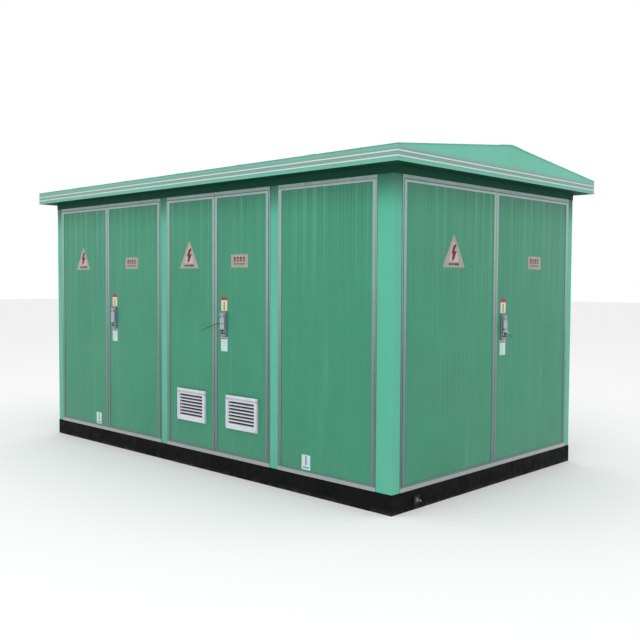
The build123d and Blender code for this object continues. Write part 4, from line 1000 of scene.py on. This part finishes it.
for x0 in (mid - 600, mid + 100):
    for z in SLOT_LEVELS:
        slot_rows(board, x0, x0 + 500, face, z, 8)
for x in (mid - 635, mid + 65):
    for z in QUARTER_TURNS:
        board.lathe([(0, -1), (14, -1), (14, 2.5), (12, 4), (0, 4)], (x, face, z), "zinc")
        # the fastener's slot: a dark bar of painted shade
        board.box(x - 2, x + 2, face - 4.4, face - 3.8, z - 8, z + 8, "dark_print_and_shade")
board.done()

HANDLE_PLATE_T = 0.003  # metres
CUBICLE_PITCH, CUBICLES = 480.0, 3
FLAG_Z, HANDLE_Z = 1570, 806  # switch flag, and handle of the cable compartment's cover
hv_place = turned(mm_box("hv_switchgear")[1].x * MM - HANDLE_PLATE_T, 0, 90)
gear = Piece("hv_gear_dress", "root", hv_place)
face = mm_box("hv_switchgear", hv_place)[0].y
for i in range(CUBICLES):
    x = (i - 1) * CUBICLE_PITCH
    gear.box(x - 150, x + 150, face - 1.0, face, 1150, 1640, "dial", 0.2, r=6)
    for reach, z0, z1 in ((3, 1170, 1400), (3, 1440, 1560), (40, 1437, 1443)):
        gear.box(x - 3, x + reach, face - 1.4, face - 0.8, z0, z1, "dark_print_and_shade")
    gear.prism(disc(x, FLAG_Z, 14), face - 1.5, face - 0.8, "dark_print_and_shade")
    gear.prism(disc(x, FLAG_Z, 10), face - 1.7, face - 1.2, "dial")
    gear.box(x - 130, x - 70, face - 5, face - 0.5, 1480, 1540, "knob", 1.0, r=5)
    gear.box(x - 124, x - 76, face - 5.8, face - 4.5, 1486, 1534, "glass", 0.3, r=4)
    for k in range(3):
        indicator(gear, x + 60 + 28 * k, face - 1, 1240, "lamp_amber")
    gear.box(x - 190, x + 190, face - 2, face, 230, 880, "cubicle", 0.6, r=10)
    gear.box(x - 60, x + 60, face - 22, face - 14, HANDLE_Z - 6, HANDLE_Z + 6, "knob", 1.5, r=3)
    for dx in (-52, 52):
        gear.lathe([(0, 0), (6, 0), (6, 20), (0, 20)], (x + dx, face, HANDLE_Z), "knob")
    for dx in (-170, 170):
        for z in (250, 555, 860):
            gear.bolt((x + dx, face - 2, z), 6.0)
gauge_at = (CUBICLE_PITCH, face - 1, 1340)
gear.lathe([(0, 0), (42, 0), (42, 14), (38, 18), (0, 18)], gauge_at, "zinc", steps=32)
gear.lathe([(0, 17.6), (34, 17.6), (34, 18.6), (0, 18.6)], gauge_at, "dial", steps=32)
gear.prism([(478, 1338), (482, 1338), (500, 1366), (499, 1367)], face - 20.6, face - 19.4, "sign_red")
gear.done()

tank_low, tank_high = mm_box("transformer_tank")
cover_low, cover_high = mm_box("transformer_cover")
# turned parts on the tank: radius and height
HV_CLAMP = [(0, 0), (13, 0), (13, 12), (9.5, 14), (9.5, 40), (7, 48), (0, 48)]
LV_CLAMP = [(0, 0), (12, 0), (12, 10), (8.5, 12), (8.5, 44), (0, 47)]
RELIEF = [(0, 0), (22, 0), (22, 8), (16, 10), (16, 70), (20, 72), (20, 84), (0, 88)]
THERMOMETER = [(0, 0), (12, 0), (12, 45), (30, 48), (30, 66), (26, 70), (0, 70)]
THERMOMETER_DIAL = [(0, 70), (24, 70), (24, 71), (0, 71)]
VALVE = [(0, 0), (26, 0), (26, 8), (14, 10), (14, 40), (20, 42), (20, 58), (14, 60), (0, 60)]
VALVE_WHEEL = [(0, 0), (6, 0), (6, 34), (22, 34), (22, 42), (0, 42)]
HV_BUSHING_TOP, LV_BUSHING_TOP = 258.0, 118.0
UP = (0, 0, 1)

unit = Piece("transformer_dress", "root")
top = cover_high.z
across = [cover_low.x + 15 + i * (cover_high.x - cover_low.x - 30) / 7 for i in range(8)]
deep = [cover_low.y + 15 + i * (cover_high.y - cover_low.y - 30) / 5 for i in range(6)]
rim = [(x, y) for x in across for y in (deep[0], deep[-1])]
rim += [(x, y) for y in deep[1:-1] for x in (across[0], across[-1])]
for x, y in rim:
    unit.bolt((x, y, top), 8.0, UP)
mid_x = (cover_low.x + cover_high.x) / 2
for i in (-1, 0, 1):
    unit.lathe(HV_CLAMP, (mid_x + i * 220, 120, top + HV_BUSHING_TOP), "brass", UP)
for i in range(4):
    unit.lathe(LV_CLAMP, (mid_x + (i - 1.5) * 150, -120, top + LV_BUSHING_TOP), "brass", UP)
unit.lathe(RELIEF, (cover_low.x + 80, -30, top), "tank", UP)
unit.lathe(THERMOMETER, (cover_high.x - 80, -30, top), "zinc", UP)
unit.lathe(THERMOMETER_DIAL, (cover_high.x - 80, -30, top), "dial", UP)
for sx in (-1, 1):
    x = mid_x + sx * 330
    lug = rounded([(x - 26, top), (x + 26, top), (x + 18, top + 58), (x - 18, top + 58)], 10)
    unit.prism(lug, -6, 6, "tank", 1.0)
    # the lug's hole: a dark disc of painted shade, not cut through
    unit.prism(disc(x, top + 34, 12), -6.3, 6.3, "dark_print_and_shade")
tank_front = -240.0
plate_z = tank_high.z - 78
unit.box(mid_x - 90, mid_x + 90, tank_front - 1.5, tank_front, plate_z, plate_z + 60, "silver", 0.3, r=4)
for i in range(4):
    level = plate_z + 10 + 12 * i
    unit.box(mid_x - 76, mid_x + 60 - 22 * (i % 2), tank_front - 1.8, tank_front - 1.4, level, level + 4,
             "dark_print_and_shade", r=1.5)
valve = (mid_x - 300, tank_front, tank_low.z + 95)
unit.lathe(VALVE, valve, "brass")
unit.lathe(VALVE_WHEEL, (valve[0], valve[1] - 26, valve[2] + 10), "label_red", UP)
unit.done()

ceiling_z = mm_box("ceiling_sheet")[0].z
for name, x, y in (("lv", -1228.0, 200.0), ("tr", 334.0, -700.0), ("hv", 1540.0, 880.0)):
    lamp = Piece(f"{name}_room_lamp", "root")
    lamp.box(x - 160, x + 160, y - 38, y + 38, ceiling_z - 16, ceiling_z, "cubicle", 0.0, r=4)
    lamp.box(x - 150, x + 150, y - 30, y + 30, ceiling_z - 44, ceiling_z - 14, "label_white", 6.0, r=12)
    lamp.done()

fan_low, fan_high = mm_box("fan_housing")
fan_x = (fan_low.x + fan_high.x) / 2
guard = Piece("fan_guard", "root")
for k in range(5):
    ring = disc(fan_x, 0.0, 150.0 - 24 * k)
    guard.tube([(x, y, fan_low.z - 2.2) for x, y in ring + ring[:1]], 1.5, "zinc")
guard.done()

# ---- camera, light and floor
CAMERA_AT = Vector((HALF_L + 3.391, -HALF_W - 4.226, 1.535))
YAW, PITCH, ROLL = math.radians(43.765), math.radians(-2.615), math.radians(0.284)
LENS, SENSOR = 46.87, 36.0


def make_camera():
    level = math.cos(PITCH)
    forward = Vector((-math.sin(YAW) * level, math.cos(YAW) * level, math.sin(PITCH)))
    flat = Vector((math.cos(YAW), math.sin(YAW), 0))
    steep = flat.cross(forward)
    right = flat * math.cos(ROLL) + steep * math.sin(ROLL)
    up = steep * math.cos(ROLL) - flat * math.sin(ROLL)
    data = bpy.data.cameras.new("camera")
    data.lens = LENS
    data.sensor_width = SENSOR
    camera = bpy.data.objects.new("camera", data)
    turn = Matrix((right, up, -forward)).transposed().to_4x4()
    camera.matrix_world = Matrix.Translation(CAMERA_AT) @ turn
    bpy.context.scene.collection.objects.link(camera)
    bpy.context.scene.camera = camera


def area_light(name, at, target, size, power):
    data = bpy.data.lights.new(name, "AREA")
    data.shape = "RECTANGLE"
    data.size, data.size_y = size
    data.energy = power
    light = bpy.data.objects.new(name, data)
    light.location = at
    light.rotation_euler = (Vector(target) - Vector(at)).to_track_quat("-Z", "Y").to_euler()
    bpy.context.scene.collection.objects.link(light)


def make_stage():
    half = 60.0
    mesh = bpy.data.meshes.new("floor")
    corners = [(sx * half, sy * half, 0) for sx, sy in ((-1, -1), (1, -1), (1, 1), (-1, 1))]
    mesh.from_pydata(corners, [], [(0, 1, 2, 3)])
    floor = bpy.data.objects.new("floor", mesh)
    bpy.context.scene.collection.objects.link(floor)
    ground = Shade("pale_floor", (0.87, 0.87, 0.87), 0.9, specular=0.1)
    mesh.materials.append(ground.finish())
    world = bpy.data.worlds.new("studio")
    world.use_nodes = True
    sky = world.node_tree.nodes["Background"].inputs
    sky["Color"].default_value = (1.0, 1.0, 1.0, 1)
    sky["Strength"].default_value = 1.0
    bpy.context.scene.world = world
    area_light("key", (4.0, -9.0, 8.0), (0, 0, 1.2), (7, 7), 170)
    area_light("top", (1.0, -1.0, 9.0), (0, 0, 0), (9, 9), 150)
    bpy.context.scene.view_settings.view_transform = "Standard"


make_camera()
make_stage()
